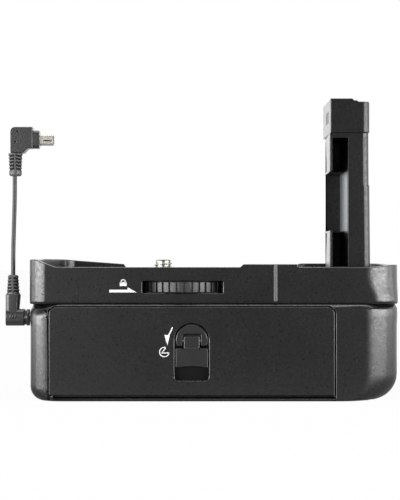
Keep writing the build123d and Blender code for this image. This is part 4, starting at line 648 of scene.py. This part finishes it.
def raised(name, layers):
    """A solid raised layer by layer, from (height, outline) pairs."""
    return ringed(name, [[(x, y, height) for x, y in outline] for height, outline in layers])


def ease(distance, radius):
    """How far a quarter round of a radius draws in at a distance from its edge."""
    short = max(0.0, radius - distance)
    return radius - math.sqrt(radius * radius - short * short)


def eased(height, rounds):
    """How far a side draws in at a height, with its rounds at the foot and at the shoulder."""
    return ease(height, rounds[0]) + ease(SPLIT - height, rounds[1])


def lower_layers(inset=0.0, low=0.0, top=SPLIT, rear_in=0.0):
    """Layers of the lower housing, rounded along its bottom ends and at its shoulders."""
    layers = []
    for height in LEVELS:
        place = low + height * (top - low) / SPLIT
        left = LEFT + LEFT_IN + inset + eased(height, LEFT_ROUNDS)
        right = RIGHT - inset - eased(height, RIGHT_ROUNDS) - RIGHT_IN * (height < RIGHT_IN_TOP)
        rear = REAR + inset + rear_in + eased(height, REAR_ROUNDS)
        front = FRONT - inset - eased(height, FRONT_ROUNDS)
        shoulder = max(0.0, (height - SHOULDER_START) / SHOULDER_RISE) ** 2
        layers.append((place, housing_outline(
            left, right, rear, front, inset, right_round=12.0 + 1.2 * shoulder,
            left_round=6.0 + 5.5 * shoulder,
        )))
    return layers


housing_plastic = surface(
    "housing_plastic", SANDBLASTED, 0.30, grain=0.42, depth=0.006, tone=0.60, wear=0.7, speckle=0.6,
    shine=0.85,
)
lower = raised("lower_shell", lower_layers())
tub_hollow = lower_layers(inset=WALL, low=WALL, top=34.0, rear_in=1.8)
cut_away(lower, raised("tub_hollow", tub_hollow))


def is_top_corner(middle, edge):
    """Test for the two upper corners of the door and its opening."""
    return lies_along(1)(middle, edge) and middle.z > 31


opening = block("door_opening", (-38.75, 58.75), (-22, -14.0), (0.9, 32.08))
round_edges(opening, is_top_corner, 2.6, 6)
cut_away(lower, opening)
cut_away(lower, block("plate_recess", (-22, 22), (-13, 13), (-1, 1.2)))
# Round holes for the tripod socket, the lead's jack, the button's bezel and the long screws
for name, start, way, radius, depth in (
        ("socket_hole", (0, 0, -1), (0, 0, 1), 5.4, 4),
        ("jack_hole", (-50, LEAD_Y, JACK_Z), (1, 0, 0), 3.0, 8),
        ("bezel_hole", (84, 18, 21), (-1, 0, 0), 8.5, 12)):
    cut_away(lower, turned(name, start, way, (radius,), depth))
COLUMNS = [(-38.7, -13.0), (-38.7, 18.0), (69.9, -13.0), (69.9, 36.8)]
SCREW_HOLE_RADIUS = 1.95
for place in COLUMNS:
    hole = turned("screw_hole", (*place, -1), (0, 0, 1), (SCREW_HOLE_RADIUS,), 5, sides=24)
    cut_away(lower, hole)

SKIN_LEFT, SKIN_REAR, SKIN_Z = 52.3, 29.0, (6.0, 30.4)
SKIN_THICKNESS, SKIN_GAP, SKIN_ROUND = 1.2, 0.15, 3.0


def skin_solid(name, out, margin):
    """The slice of the hand grip's front that the rubber skin fills, grown by a margin."""
    def wall(inset):
        return [(height, housing_outline(LEFT, RIGHT - inset, REAR, FRONT - inset, inset))
                for height in (0.0, 18.0, 40.0)]
    solid = raised(name, wall(-out))
    frame_block = block(
        "skin_frame", (SKIN_LEFT - margin, 90), (SKIN_REAR - margin, 60),
        (SKIN_Z[0] - margin, SKIN_Z[1] + margin),
    )
    round_edges(frame_block, lies_along(1), SKIN_ROUND, 5)
    join_solid(solid, frame_block, "INTERSECT")
    return cut_away(solid, raised("skin_inner", wall(SKIN_THICKNESS)))


cut_away(lower, skin_solid("skin_recess", 1.5, SKIN_GAP))
soften(lower, 0.35, 3)
fit(lower, "root", housing_plastic, "shell", "lower_housing")


# Grip skin. A sheet of moulded rubber round the front of the hand grip, let into the lower
# housing and glued there, with a fine pebbled face.
RUBBER = (0.013, 0.013, 0.014)
grip_rubber = surface(
    "grip_rubber", RUBBER, 0.62, grain=0.75, depth=0.09, tone=0.25, speckle=0.15, patch=9.0,
)
skin = skin_solid("skin", 0.0, 0.0)
soften(skin, 0.25, 2)
fit(skin, "root", grip_rubber, "skin", "grip_skin")


# Upper housing. A moulded ring of the same black plastic, screwed to the lower one from below.
# Its rim stands round the camera's seat, and its rear band has the thumbwheel's window.
BAND_REAR = -18.2
DECK_LOW, DECK_TOP, RIM, BAND_TOP = 41.4, 42.8, 45.4, 48.0
BAND_ROUND, BAND_WALL, SHELF_WALL = 12.0, 2.0, 3.6
BAND_LEVELS = (32.8, 32.9, 33.1, 33.4, 33.8, 34.3, 35.2, 36.4, 38.0, 40.0, 42.0)
FOOT_ROUND, FOOT_CORNER, CORNER_GROWS, CORNER_START, CORNER_RISE = 0.9, 9.3, 2.7, 33.5, 8.5
INNER_FOOT = (2.2, 1.0, 9.0)
COLUMN_RADIUS, BORE_RADIUS = 3.2, 1.1
WINDOW_X, WINDOW_Z = (-6.75, 20.55), (36.55, 40.65)
NEAR_SKYLINE = [
    (-43.4, BAND_TOP), (-36.2, RIM), (26.5, RIM), (27.5, 46.4), (45.96, 46.4), (46.0, RIM),
    (71.8, RIM), (78.8, 46.2),
]
FAR_SKYLINE = [
    (-43.4, BAND_TOP), (-15.5, 46.0), (-13.5, DECK_TOP), (47.4, DECK_TOP), (49.6, 46.2),
]


def read_off(line, x):
    """Height of a skyline at a place along the grip."""
    for (left, low), (right, high) in zip(line, line[1:]):
        if x <= right:
            return low + (high - low) * max(0.0, x - left) / (right - left)
    return line[-1][1]


def band_outline(inset, foot, right_round):
    """The upper housing's outline, with points where its rim changes height."""
    points = housing_outline(
        LEFT + inset + 0.15 * foot, RIGHT - inset - 0.3 * foot, BAND_REAR + inset + foot,
        FRONT - inset - 0.6 * foot, inset, right_round=right_round,
    )
    at_rear, at_front = CORNER_STEPS + 1, 5 * (CORNER_STEPS + 1)
    rear = [(x, points[at_rear - 1][1]) for x, _ in NEAR_SKYLINE[1:-2]]
    front = [(x, points[at_front][1]) for x, _ in FAR_SKYLINE[2:0:-1]]
    return points[:at_rear] + rear + points[at_rear:at_front] + front + points[at_front:]


def band_ring(inset, foot, right_round, height=None):
    """One ring of the upper housing's skin, level, or without a height up at the rim."""
    outer = band_outline(0.0, 0.0, BAND_ROUND)
    ring = []
    for (x, y), (rim_x, rim_y) in zip(band_outline(inset, foot, right_round), outer):
        rim = read_off(NEAR_SKYLINE if rim_y < 0 else FAR_SKYLINE, rim_x)
        ring.append((x, y, rim if height is None else height))
    return ring


def lying(name, layers):
    """A solid like a raised one, but built up along the depth, from (y, (x, z) outline) pairs."""
    solid = raised(name, [(-y, outline) for y, outline in reversed(layers)])
    solid.select_set(True)
    bpy.context.view_layer.objects.active = solid
    solid.rotation_euler = (math.radians(90), 0, 0)
    bpy.ops.object.transform_apply(location=True, rotation=True, scale=True)
    return solid


rings = [band_ring(*INNER_FOOT, SPLIT)]
for height in BAND_LEVELS:
    share = min(1.0, max(0.0, (height - CORNER_START) / CORNER_RISE))
    corner = FOOT_CORNER + CORNER_GROWS * share * share * (3 - 2 * share)
    rings.append(band_ring(0.0, ease(height - SPLIT, FOOT_ROUND), corner, height))
rings += [band_ring(0.0, 0.0, BAND_ROUND), band_ring(BAND_WALL, 0.0, BAND_ROUND)]
for wall, height in ((BAND_WALL, DECK_LOW), (SHELF_WALL, DECK_LOW), (SHELF_WALL, 40.2)):
    rings.append(band_ring(wall, 0.0, BAND_ROUND, height))
rings.append(band_ring(*INNER_FOOT, 40.1))
upper = ringed("upper_shell", rings, closed=True)
for place in COLUMNS:
    column = turned("column", (*place, SPLIT), (0, 0, 1), (COLUMN_RADIUS,), 8.55, sides=32)
    join_solid(upper, column)
    bore = turned("column_bore", (*place, 30), (0, 0, 1), (BORE_RADIUS,), 12, sides=16)
    cut_away(upper, bore)
cut_away(upper, block("wheel_window", WINDOW_X, (-22, -14.5), WINDOW_Z))
soften(upper, 0.32, 3)
fit(upper, "root", housing_plastic, "shell", "upper_housing")


# Index bead. A slim round strip, let half its thickness into the rear band right of the middle,
# from above the band's foot to the rim. Its pale grey is a painted highlight along its crest.
BEAD_X, BEAD_LOW, BEAD_RADIUS, BEAD_LENGTH = 38.4, 33.7, 0.68, 12.7
bead_painted_highlight = surface(
    "bead_painted_highlight", (0.085, 0.085, 0.088), 0.50, grain=0.30, depth=0.006, shine=0.6,
)
bead = turned(
    "bead", (BEAD_X, BAND_REAR, BEAD_LOW), (0, 0, 1), (BEAD_RADIUS,), BEAD_LENGTH, sides=24,
)
round_edges(bead, lambda middle, edge: middle.z < BEAD_LOW + 0.05, 0.4, 3)
soften(bead, 0.06, 1)
fit(bead, "root", bead_painted_highlight, "shell", "index_bead")


# Deck pad. A thin rubber sheet glued to the deck, on which the camera's base sits, with a round
# opening for the camera screw.
PAD_X, PAD_Y, PAD_TOP, PAD_ROUND = (-33.4, 47.9), (-13.7, 37.0), 43.4, 6.0
PAD_HOLE_RADIUS = 9.0
pad = block("pad", PAD_X, PAD_Y, (DECK_TOP, PAD_TOP))
round_edges(pad, lies_along(2), PAD_ROUND, 8)
cut_away(pad, turned("pad_hole", (0, 0, 40), (0, 0, 1), (PAD_HOLE_RADIUS,), 6, sides=64))
soften(pad, 0.18, 2)
fit(pad, "root", grip_rubber, "skin", "deck_pad")


# Thumbwheel. A knurled ring of black plastic under the deck, which drives the camera screw through
# teeth inside its rim. The rear edge of the knurl stands in the window.
WHEEL_BLACK = (0.024, 0.024, 0.025)
WHEEL_MERGE = 0.002


def own_copy(name, node):
    """A copy of a node's shape with its doubles merged, to be finished as a new piece."""
    set_down()
    piece = bpy.data.objects.new(name, bpy.data.objects[node].data.copy())
    scene.collection.objects.link(piece)
    piece.select_set(True)
    bpy.context.view_layer.objects.active = piece
    bpy.ops.mesh.customdata_custom_splitnormals_clear()
    bpy.ops.object.mode_set(mode="EDIT")
    bpy.ops.mesh.select_all(action="SELECT")
    bpy.ops.mesh.remove_doubles(threshold=WHEEL_MERGE * mm)
    set_down()
    return piece


wheel_plastic = surface(
    "wheel_plastic", WHEEL_BLACK, 0.40, grain=0.35, depth=0.010, wear=0.8, shine=0.7,
)
wheel = own_copy("wheel", "thumbwheel")
soften(wheel, 0.16, 2, angle=25, clean=WHEEL_MERGE)
fit(wheel, "wheel", wheel_plastic, "wheel", "thumbwheel")


# Camera screw. A quarter-inch steel screw with a rolled thread, which stands out of the deck and
# turns with the pinion under it.
THREAD_RADIUS, THREAD_ROOT, THREAD_PITCH, THREAD_START = 3.175, 2.62, 1.27, 44.05
CREST_HALF, ROOT_HALF, ROOT_SINK = 0.07, 0.42, 0.12
THREAD_TURNS, THREAD_SIDES = 2, 40
SCREW_TOP = 47.9
screw_steel = surface(
    "screw_steel", (0.42, 0.41, 0.37), 0.34, grain=0.10, depth=0.002, tone=0.14, metallic=1.0,
)


def is_top_rim(middle, edge):
    """Test for the edges round the screw's flat end."""
    level = abs(edge.verts[0].co.z - edge.verts[1].co.z) < 1e-6
    return middle.z > SCREW_TOP - 0.1 and level


screw = turned("screw", (0, 0, PAD_TOP), (0, 0, 1), (THREAD_ROOT,), 4.5, sides=48)
round_edges(screw, is_top_rim, 0.35, 2)
for low, radius, length in ((39.0, 2.9, 4.4), (33.9, 2.5, 5.1)):
    join_solid(screw, turned("shank", (0, 0, low), (0, 0, 1), (radius,), length + 0.01, sides=48))
set_down()
bpy.ops.mesh.primitive_plane_add(size=1, location=(0, 0, 0), rotation=(math.radians(90), 0, 0))
thread = bpy.context.object
thread.name = thread.data.name = "screw_thread"
bpy.ops.object.transform_apply(location=True, rotation=True, scale=True)
bpy.ops.object.mode_set(mode="EDIT")
shape = bmesh.from_edit_mesh(thread.data)
for vert in shape.verts:
    outer, upper_side = vert.co.x > 0, vert.co.z > 0
    half = CREST_HALF if outer else ROOT_HALF
    vert.co = Vector((
        THREAD_RADIUS if outer else THREAD_ROOT - ROOT_SINK, 0,
        THREAD_START + (half if upper_side else -half),
    )) * mm
bmesh.update_edit_mesh(thread.data)
bpy.ops.mesh.select_all(action="SELECT")
bpy.ops.mesh.delete(type="ONLY_FACE")
set_down()
thread.select_set(True)
bpy.context.view_layer.objects.active = thread
wind = thread.modifiers.new("wind", "SCREW")
wind.axis = "Z"
wind.screw_offset = THREAD_PITCH * mm
wind.iterations = THREAD_TURNS
wind.angle = math.radians(360)
wind.steps = wind.render_steps = THREAD_SIDES
wind.use_merge_vertices = False
bpy.ops.object.modifier_apply(modifier=wind.name)
bpy.ops.object.mode_set(mode="EDIT")
bpy.ops.mesh.select_mode(type="EDGE")
bpy.ops.mesh.select_all(action="DESELECT")
bpy.ops.mesh.select_non_manifold()
bpy.ops.mesh.fill_holes(sides=8)
bpy.ops.mesh.select_all(action="SELECT")
bpy.ops.mesh.normals_make_consistent(inside=False)
set_down()
join_solid(screw, thread)
soften(screw, 0)
fit(screw, "screw", screw_steel, "steel", "camera_screw")


# Stem. A moulded column that fills the camera's battery well: a thin left wall with a window, an
# open slot, and a solid column that carries the cable, capped by a box with the contacts.
STEM_X, STEM_Y = (57.9, 71.1), (-5.5, 30.5)
CAP_X, CAP_Y, CAP_Z = (57.9, 71.5), (-5.9, 30.9), (91.7, 103.6)
STEM_BLACK = (0.0058, 0.0058, 0.0062)
stem_plastic = surface(
    "stem_plastic", STEM_BLACK, 0.33, grain=0.38, depth=0.005, tone=0.40, wear=0.6, speckle=0.5,
    shine=0.55,
)
STEM_LOW, STEM_ROUND, WALL_ROUND = 40.2, 2.4, 0.3
WALL_REAR_X, WALL_FRONT_X = STEM_X[0] - 0.25, STEM_X[0] + 0.75
# The right side draws in towards the cap: heights, and where the side stands there
STEM_RIGHT = ((STEM_LOW, 71.85), (42.8, 71.85), (73.5, 71.55), (73.7, 71.3), (CAP_Z[0], 71.2))
stem = raised("stem", [(height, rounded([
    (WALL_REAR_X, STEM_Y[0], WALL_ROUND), (right, STEM_Y[0], STEM_ROUND),
    (right, STEM_Y[1], STEM_ROUND), (WALL_FRONT_X, STEM_Y[1], WALL_ROUND),
])) for height, right in STEM_RIGHT])
join_solid(stem, block("stem_foot", (56.3, 72.7), (-8.7, 33.7), (STEM_LOW, DECK_LOW)))
join_solid(stem, block("spigot", (59.15, 70.25), (-4.65, 29.65), (CAP_Z[0] - 0.5, 93.9)))
cut_away(stem, block("stem_slot", (58.5, 64.0), (-9, 28.7), (45.5, 90.0)))
cut_away(stem, block("stem_window", (57, 58.9), (-9, 32), (57.9, 78.4)))
cut_away(stem, block("stem_bore", (65.5, 69.6), (0.5, 24.5), (39, 95)))
RIB_THICKNESS = 0.6
for z in (57.2, 78.5):
    join_solid(stem, block("stem_rib", (58.3, 64.2), (11.0, 29.0), (z, z + RIB_THICKNESS)))
soften(stem, 0.16, 2)
fit(stem, "root", stem_plastic, "stem", "stem_shell")

# The smooth wall of the cable channel, a thin strip against the solid column, which shows through
# the window: its pale bluish grey, much paler than the stem's black, is a painted reflection
channel_painted_reflection = surface(
    "channel_painted_reflection", (0.115, 0.127, 0.145), 0.36, grain=0.5, depth=0.004, shine=0.7,
)
channel = block("channel_wall", (63.85, 64.1), (-3.6, 28.6), (57.7, 78.6))
soften(channel, 0.05, 1)
fit(channel, "root", channel_painted_reflection, "stem")

# The cap: a wider moulded box over the stem's end, stepped down on top to the right, with three
# slots for the contacts in its left side
CONTACTS, CONTACT_START, CONTACT_STEP, CONTACT_HALF = 3, 5.6, 4.6, 1.1
cap = block("cap", CAP_X, CAP_Y, CAP_Z)
round_edges(
    cap, lambda middle, edge: lies_along(2)(middle, edge) and middle.x > 71, STEM_ROUND, 7,
)
step_outline = [
    (65.5, 103.7), (65.9, 102.95), (67.2, 102.95), (67.45, 102.5), (75.0, 102.5), (75.0, 106.0),
    (65.5, 106.0),
]
cut_away(cap, lying("cap_step", [(-10, step_outline), (35, step_outline)]))
cut_away(cap, block("cap_hollow", (59.1, 70.3), (-4.7, 29.7), (90, 101.4)))
for number in range(CONTACTS):
    y = CONTACT_START + number * CONTACT_STEP
    cut_away(cap, block("cap_slot", (57, 60), (y - CONTACT_HALF, y + CONTACT_HALF), (95.8, 99.6)))
soften(cap, 0.3, 3)
fit(cap, "root", stem_plastic, "stem", "stem_cap")


# Tray door. A flat moulded panel that closes the rear and carries the battery tray, with an
# arch-topped recess for its latch and a shallow round dish about the recess's top.
DOOR_X, DOOR_Y, DOOR_Z = (-38.4, 58.4), (-19.0, -16.6), (2.0, 31.9)
LATCH_X, LATCH_Z, LATCH_RADIUS, LATCH_LOW, LATCH_CORNER = 10.0, 20.6, 5.8, 7.0, 1.5
DISH_PLACE, DISH_AXIS, DISH_RADII = (9.9, -18.77, 20.8), (0, -1, 0.06), (7.5, 9.25)


def round_points(x, z, radius, start, sweep, steps):
    """Points along part of a circle, as (x, z), with angles in radians."""
    return [
        (x + radius * math.cos(start + sweep * step / steps),
         z + radius * math.sin(start + sweep * step / steps)) for step in range(steps + 1)
    ]


def arch(radius, low, corner):
    """Outline of the recess, square below with small rounds and arched above."""
    points = round_points(LATCH_X, LATCH_Z, radius, 0, math.pi, 28)
    for side, start in ((-1, math.pi), (1, 1.5 * math.pi)):
        middle_x = LATCH_X + side * (radius - corner)
        points += round_points(middle_x, low + corner, corner, start, math.pi / 2, 6)
    return points


door = block("door", DOOR_X, DOOR_Y, DOOR_Z)
round_edges(door, is_top_corner, 2.4, 6)
cut_away(door, turned("door_dish", DISH_PLACE, DISH_AXIS, DISH_RADII, 1.0, sides=96))
recess = arch(LATCH_RADIUS, LATCH_LOW, LATCH_CORNER)
cut_away(door, lying("door_recess", [(-21, recess), (-15, recess)]))
soften(door, 0.34, 3)
fit(door, "tray", housing_plastic, "shell", "tray_door")

# The floor of the recess, a plain panel on the tray behind the latch, made near-black and dull as
# painted shade
recess_shade = surface(
    "recess_shade", (0.0040, 0.0040, 0.0042), 0.62, grain=0.35, depth=0.008, shine=0.15,
)
recess_floor = block("recess_floor", (3.6, 16.4), (-16.55, -16.05), (6.4, 18.4))
soften(recess_floor, 0.1, 1)
fit(recess_floor, "tray", recess_shade, "inner")


# Latch. A round hub with two ears in the door's recess, and a flap hinged on a steel pin through
# the ears, which is lifted as a handle.
latch_plastic = surface(
    "latch_plastic", (0.0095, 0.0095, 0.0105), 0.33, grain=0.35, depth=0.008, wear=0.8, shine=0.85,
)
HUB_RADIUS, HUB_DEPTH, PIN_Y, PIN_Z = 5.4, 2.94, -18.0, 20.4
NECK_X, BARREL_RADIUS, BARREL_LENGTH, PIN_BORE = (7.35, 12.65), 0.9, 5.3, 0.46
PADDLE_LEFT, PADDLE_RIGHT, PADDLE_WIDTH, PADDLE_Y = 4.55, 15.45, 10.9, (-18.9, -17.7)
PADDLE_LOW, PADDLE_TOP, PADDLE_HOLLOW, PADDLE_STEPS = 11.4, 17.9, 0.45, 12
hub = turned("hub", (LATCH_X, -15.86, LATCH_Z), (0, -1, 0), (HUB_RADIUS,), HUB_DEPTH, sides=64)
cut_away(hub, block("hub_cut", (0, 20), (-20, -15), (10, 18.8)))
cut_away(hub, block("hub_notch", (6.9, 13.1), (-20, -16.1), (18, 22.75)))
join_solid(hub, turned("hub_shaft", (LATCH_X, -15.9, LATCH_Z), (0, 1, 0), (2.0,), 1.0, sides=32))
soften(hub, 0.28, 3)
fit(hub, "tray", latch_plastic, "latch", "latch_hub")

# The flap: a flat paddle whose lower edge is slightly hollow, and a neck up to its barrel
paddle = [
    (PADDLE_LEFT + PADDLE_WIDTH * step / PADDLE_STEPS,
     PADDLE_LOW + PADDLE_HOLLOW * math.sin(math.pi * step / PADDLE_STEPS))
    for step in range(PADDLE_STEPS + 1)
] + [(PADDLE_RIGHT, PADDLE_TOP), (PADDLE_LEFT, PADDLE_TOP)]
flap = lying("flap", [(y, paddle) for y in PADDLE_Y])
join_solid(flap, block("flap_neck", NECK_X, PADDLE_Y, (16.5, PIN_Z + 1.5)))
barrel = turned(
    "flap_barrel", (NECK_X[0], PIN_Y, PIN_Z), (1, 0, 0), (BARREL_RADIUS,), BARREL_LENGTH, sides=32,
)
join_solid(flap, barrel)
cut_away(flap, turned("flap_bore", (6.0, PIN_Y, PIN_Z), (1, 0, 0), (PIN_BORE,), 8, sides=24))
soften(flap, 0.26, 3)
fit(flap, "flap", latch_plastic, "latch", "latch_flap")


# Printed marks. White ink on the plastic: a padlock and a half arrow beside the thumbwheel, and on
# the door a curved arrow with an open ring for the latch's turn.
INK = 0.035
STROKE = 0.3
BEND_STROKE = 0.42
white_ink = surface("white_ink", (0.74, 0.74, 0.72), 0.50, grain=0.30, depth=0.004, tone=0.06)


def printed(name, corners, y):
    """One printed shape from (x, z) corners, standing an ink's thickness off the surface."""
    return lying(name, [(y - INK, corners), (y + INK, corners)])


def band(points, width):
    """Outline of an even band along a line of (x, z) points."""
    left, right = [], []
    last = len(points) - 1
    for number, point in enumerate(points):
        before, after = points[max(0, number - 1)], points[min(last, number + 1)]
        side = (Vector(after) - Vector(before)).normalized().orthogonal() * width / 2
        left.append(tuple(Vector(point) + side))
        right.append(tuple(Vector(point) - side))
    return left + right[::-1]


def rectangle(x, z):
    """Corners of an upright rectangle."""
    return [(x[0], z[0]), (x[1], z[0]), (x[1], z[1]), (x[0], z[1])]


# On the band: a half arrow, and a padlock over it
half_arrow = [(-17.9, 37.75), (-17.9, 36.85), (-8.6, 36.85), (-11.7, 38.55), (-11.7, 37.75)]
shackle = round_points(-13.2, 40.45, 0.72, 0, math.pi, 12)
shackle = band([(-12.48, 39.9)] + shackle + [(-13.92, 39.9)], STROKE)
arrow = printed("band_arrow", half_arrow, BAND_REAR)
put_on(arrow, printed("padlock_shackle", shackle, BAND_REAR))
put_on(arrow, printed("padlock_body", rectangle((-14.35, -12.05), (39.0, 40.3)), BAND_REAR))
fit(arrow, "root", white_ink, "shell")

# On the door: a bent arrow, and an open ring with a bar and a hand in it
bend = [(3.45 - 0.12 * step - 0.012 * step * step, 25.1 - 0.42 * step) for step in range(8)]
ring = round_points(0.75, 16.7, 1.6, math.radians(75), math.radians(14.5 * 19), 19)
turn_arrow = printed("turn_arrow", band(bend, BEND_STROKE), DOOR_Y[0])
for name, corners in (
        ("turn_head", [(0.75, 22.5), (2.6, 22.4), (1.75, 18.9)]),
        ("ring_mark", band(ring, STROKE)),
        ("ring_bar", rectangle((-0.4, 2.3), (16.25, 16.55))),
        ("ring_hand", band([(-0.1, 16.4), (1.15, 18.1)], STROKE))):
    put_on(turn_arrow, printed(name, corners, DOOR_Y[0]))
fit(turn_arrow, "tray", white_ink, "shell")


# Nodes that keep the solids' own shape: the works inside, the screws, the base plate and the
# button with its ring. Each takes the finish of what it is made of.
def finish_nodes(material, *nodes):
    """Gives every one of the nodes a finish."""
    for node in nodes:
        mesh = bpy.data.objects[node].data
        mesh.materials.clear()
        mesh.materials.append(material)


BRASS = (0.60, 0.44, 0.20)
GOLD = (0.78, 0.58, 0.25)
BOARD_GREEN = (0.010, 0.060, 0.022)
FLEX_AMBER = (0.36, 0.16, 0.03)
deck_plastic = surface(
    "deck_plastic", (0.013, 0.013, 0.014), 0.52, grain=0.40, depth=0.014, tone=0.25, speckle=0.3,
)
inner_plastic = surface("inner_plastic", (0.020, 0.020, 0.021), 0.50, grain=0.5, depth=0.008)
black_steel = surface(
    "black_steel", (0.06, 0.06, 0.065), 0.32, grain=0.15, depth=0.003, metallic=0.8, wear=1.2,
)
brass = surface("brass", BRASS, 0.28, grain=0.15, depth=0.003, tone=0.12, metallic=1.0, wear=0.3)
gold = surface("gold", GOLD, 0.22, grain=0.10, depth=0.002, tone=0.08, metallic=1.0)
board = surface("board", BOARD_GREEN, 0.35, grain=0.6, depth=0.004, tone=0.20)
chip = surface("chip", (0.012, 0.012, 0.012), 0.55, grain=0.2, depth=0.004)
flex = surface("flex", FLEX_AMBER, 0.30, grain=0.8, depth=0.004, tone=0.15)
button_plastic = surface("button_plastic", WHEEL_BLACK, 0.30, grain=0.30, depth=0.004, wear=0.8)
button_satin = surface(
    "button_satin", (0.26, 0.26, 0.265), 0.30, grain=0.15, depth=0.002, tone=0.06, metallic=0.9,
)
ring_plastic = surface(
    "ring_plastic", (0.045, 0.045, 0.047), 0.45, grain=0.30, depth=0.006, wear=0.8,
)
dome_rubber = surface("dome_rubber", (0.30, 0.30, 0.29), 0.55, grain=0.4, depth=0.006)
plate_steel = surface(
    "plate_steel", (0.10, 0.10, 0.105), 0.40, grain=0.20, depth=0.006, metallic=0.9, wear=1.0,
)

finish_nodes(deck_plastic, "top_deck")
finish_nodes(inner_plastic, "chamber", "tray_frame", "wheel_bearing", "wheel_carrier",
             "jack_socket", "latch_bolt", "button_switch")
finish_nodes(black_steel, "base_screws", "shell_screws", "deck_screws", "chamber_screws",
             "carrier_screws", "stem_screws", "board_screws", "tray_screws", "screw_clip")
finish_nodes(nickel, "hinge_pin", "lead_pin")
finish_nodes(brass, "tripod_socket", "screw_bushing", "screw_pinion")
finish_nodes(gold, "chamber_contacts", "tray_contacts", "stem_contacts")
finish_nodes(board, "main_board", "stem_board", "switch_board")
finish_nodes(chip, "board_chips", "connector_tongue")
finish_nodes(flex, "flex_cable")
finish_nodes(button_satin, "shutter_button")
finish_nodes(ring_plastic, "lock_ring")
finish_nodes(button_plastic, "button_bezel")
finish_nodes(dome_rubber, "button_dome")
finish_nodes(plate_steel, "base_plate")

set_down()
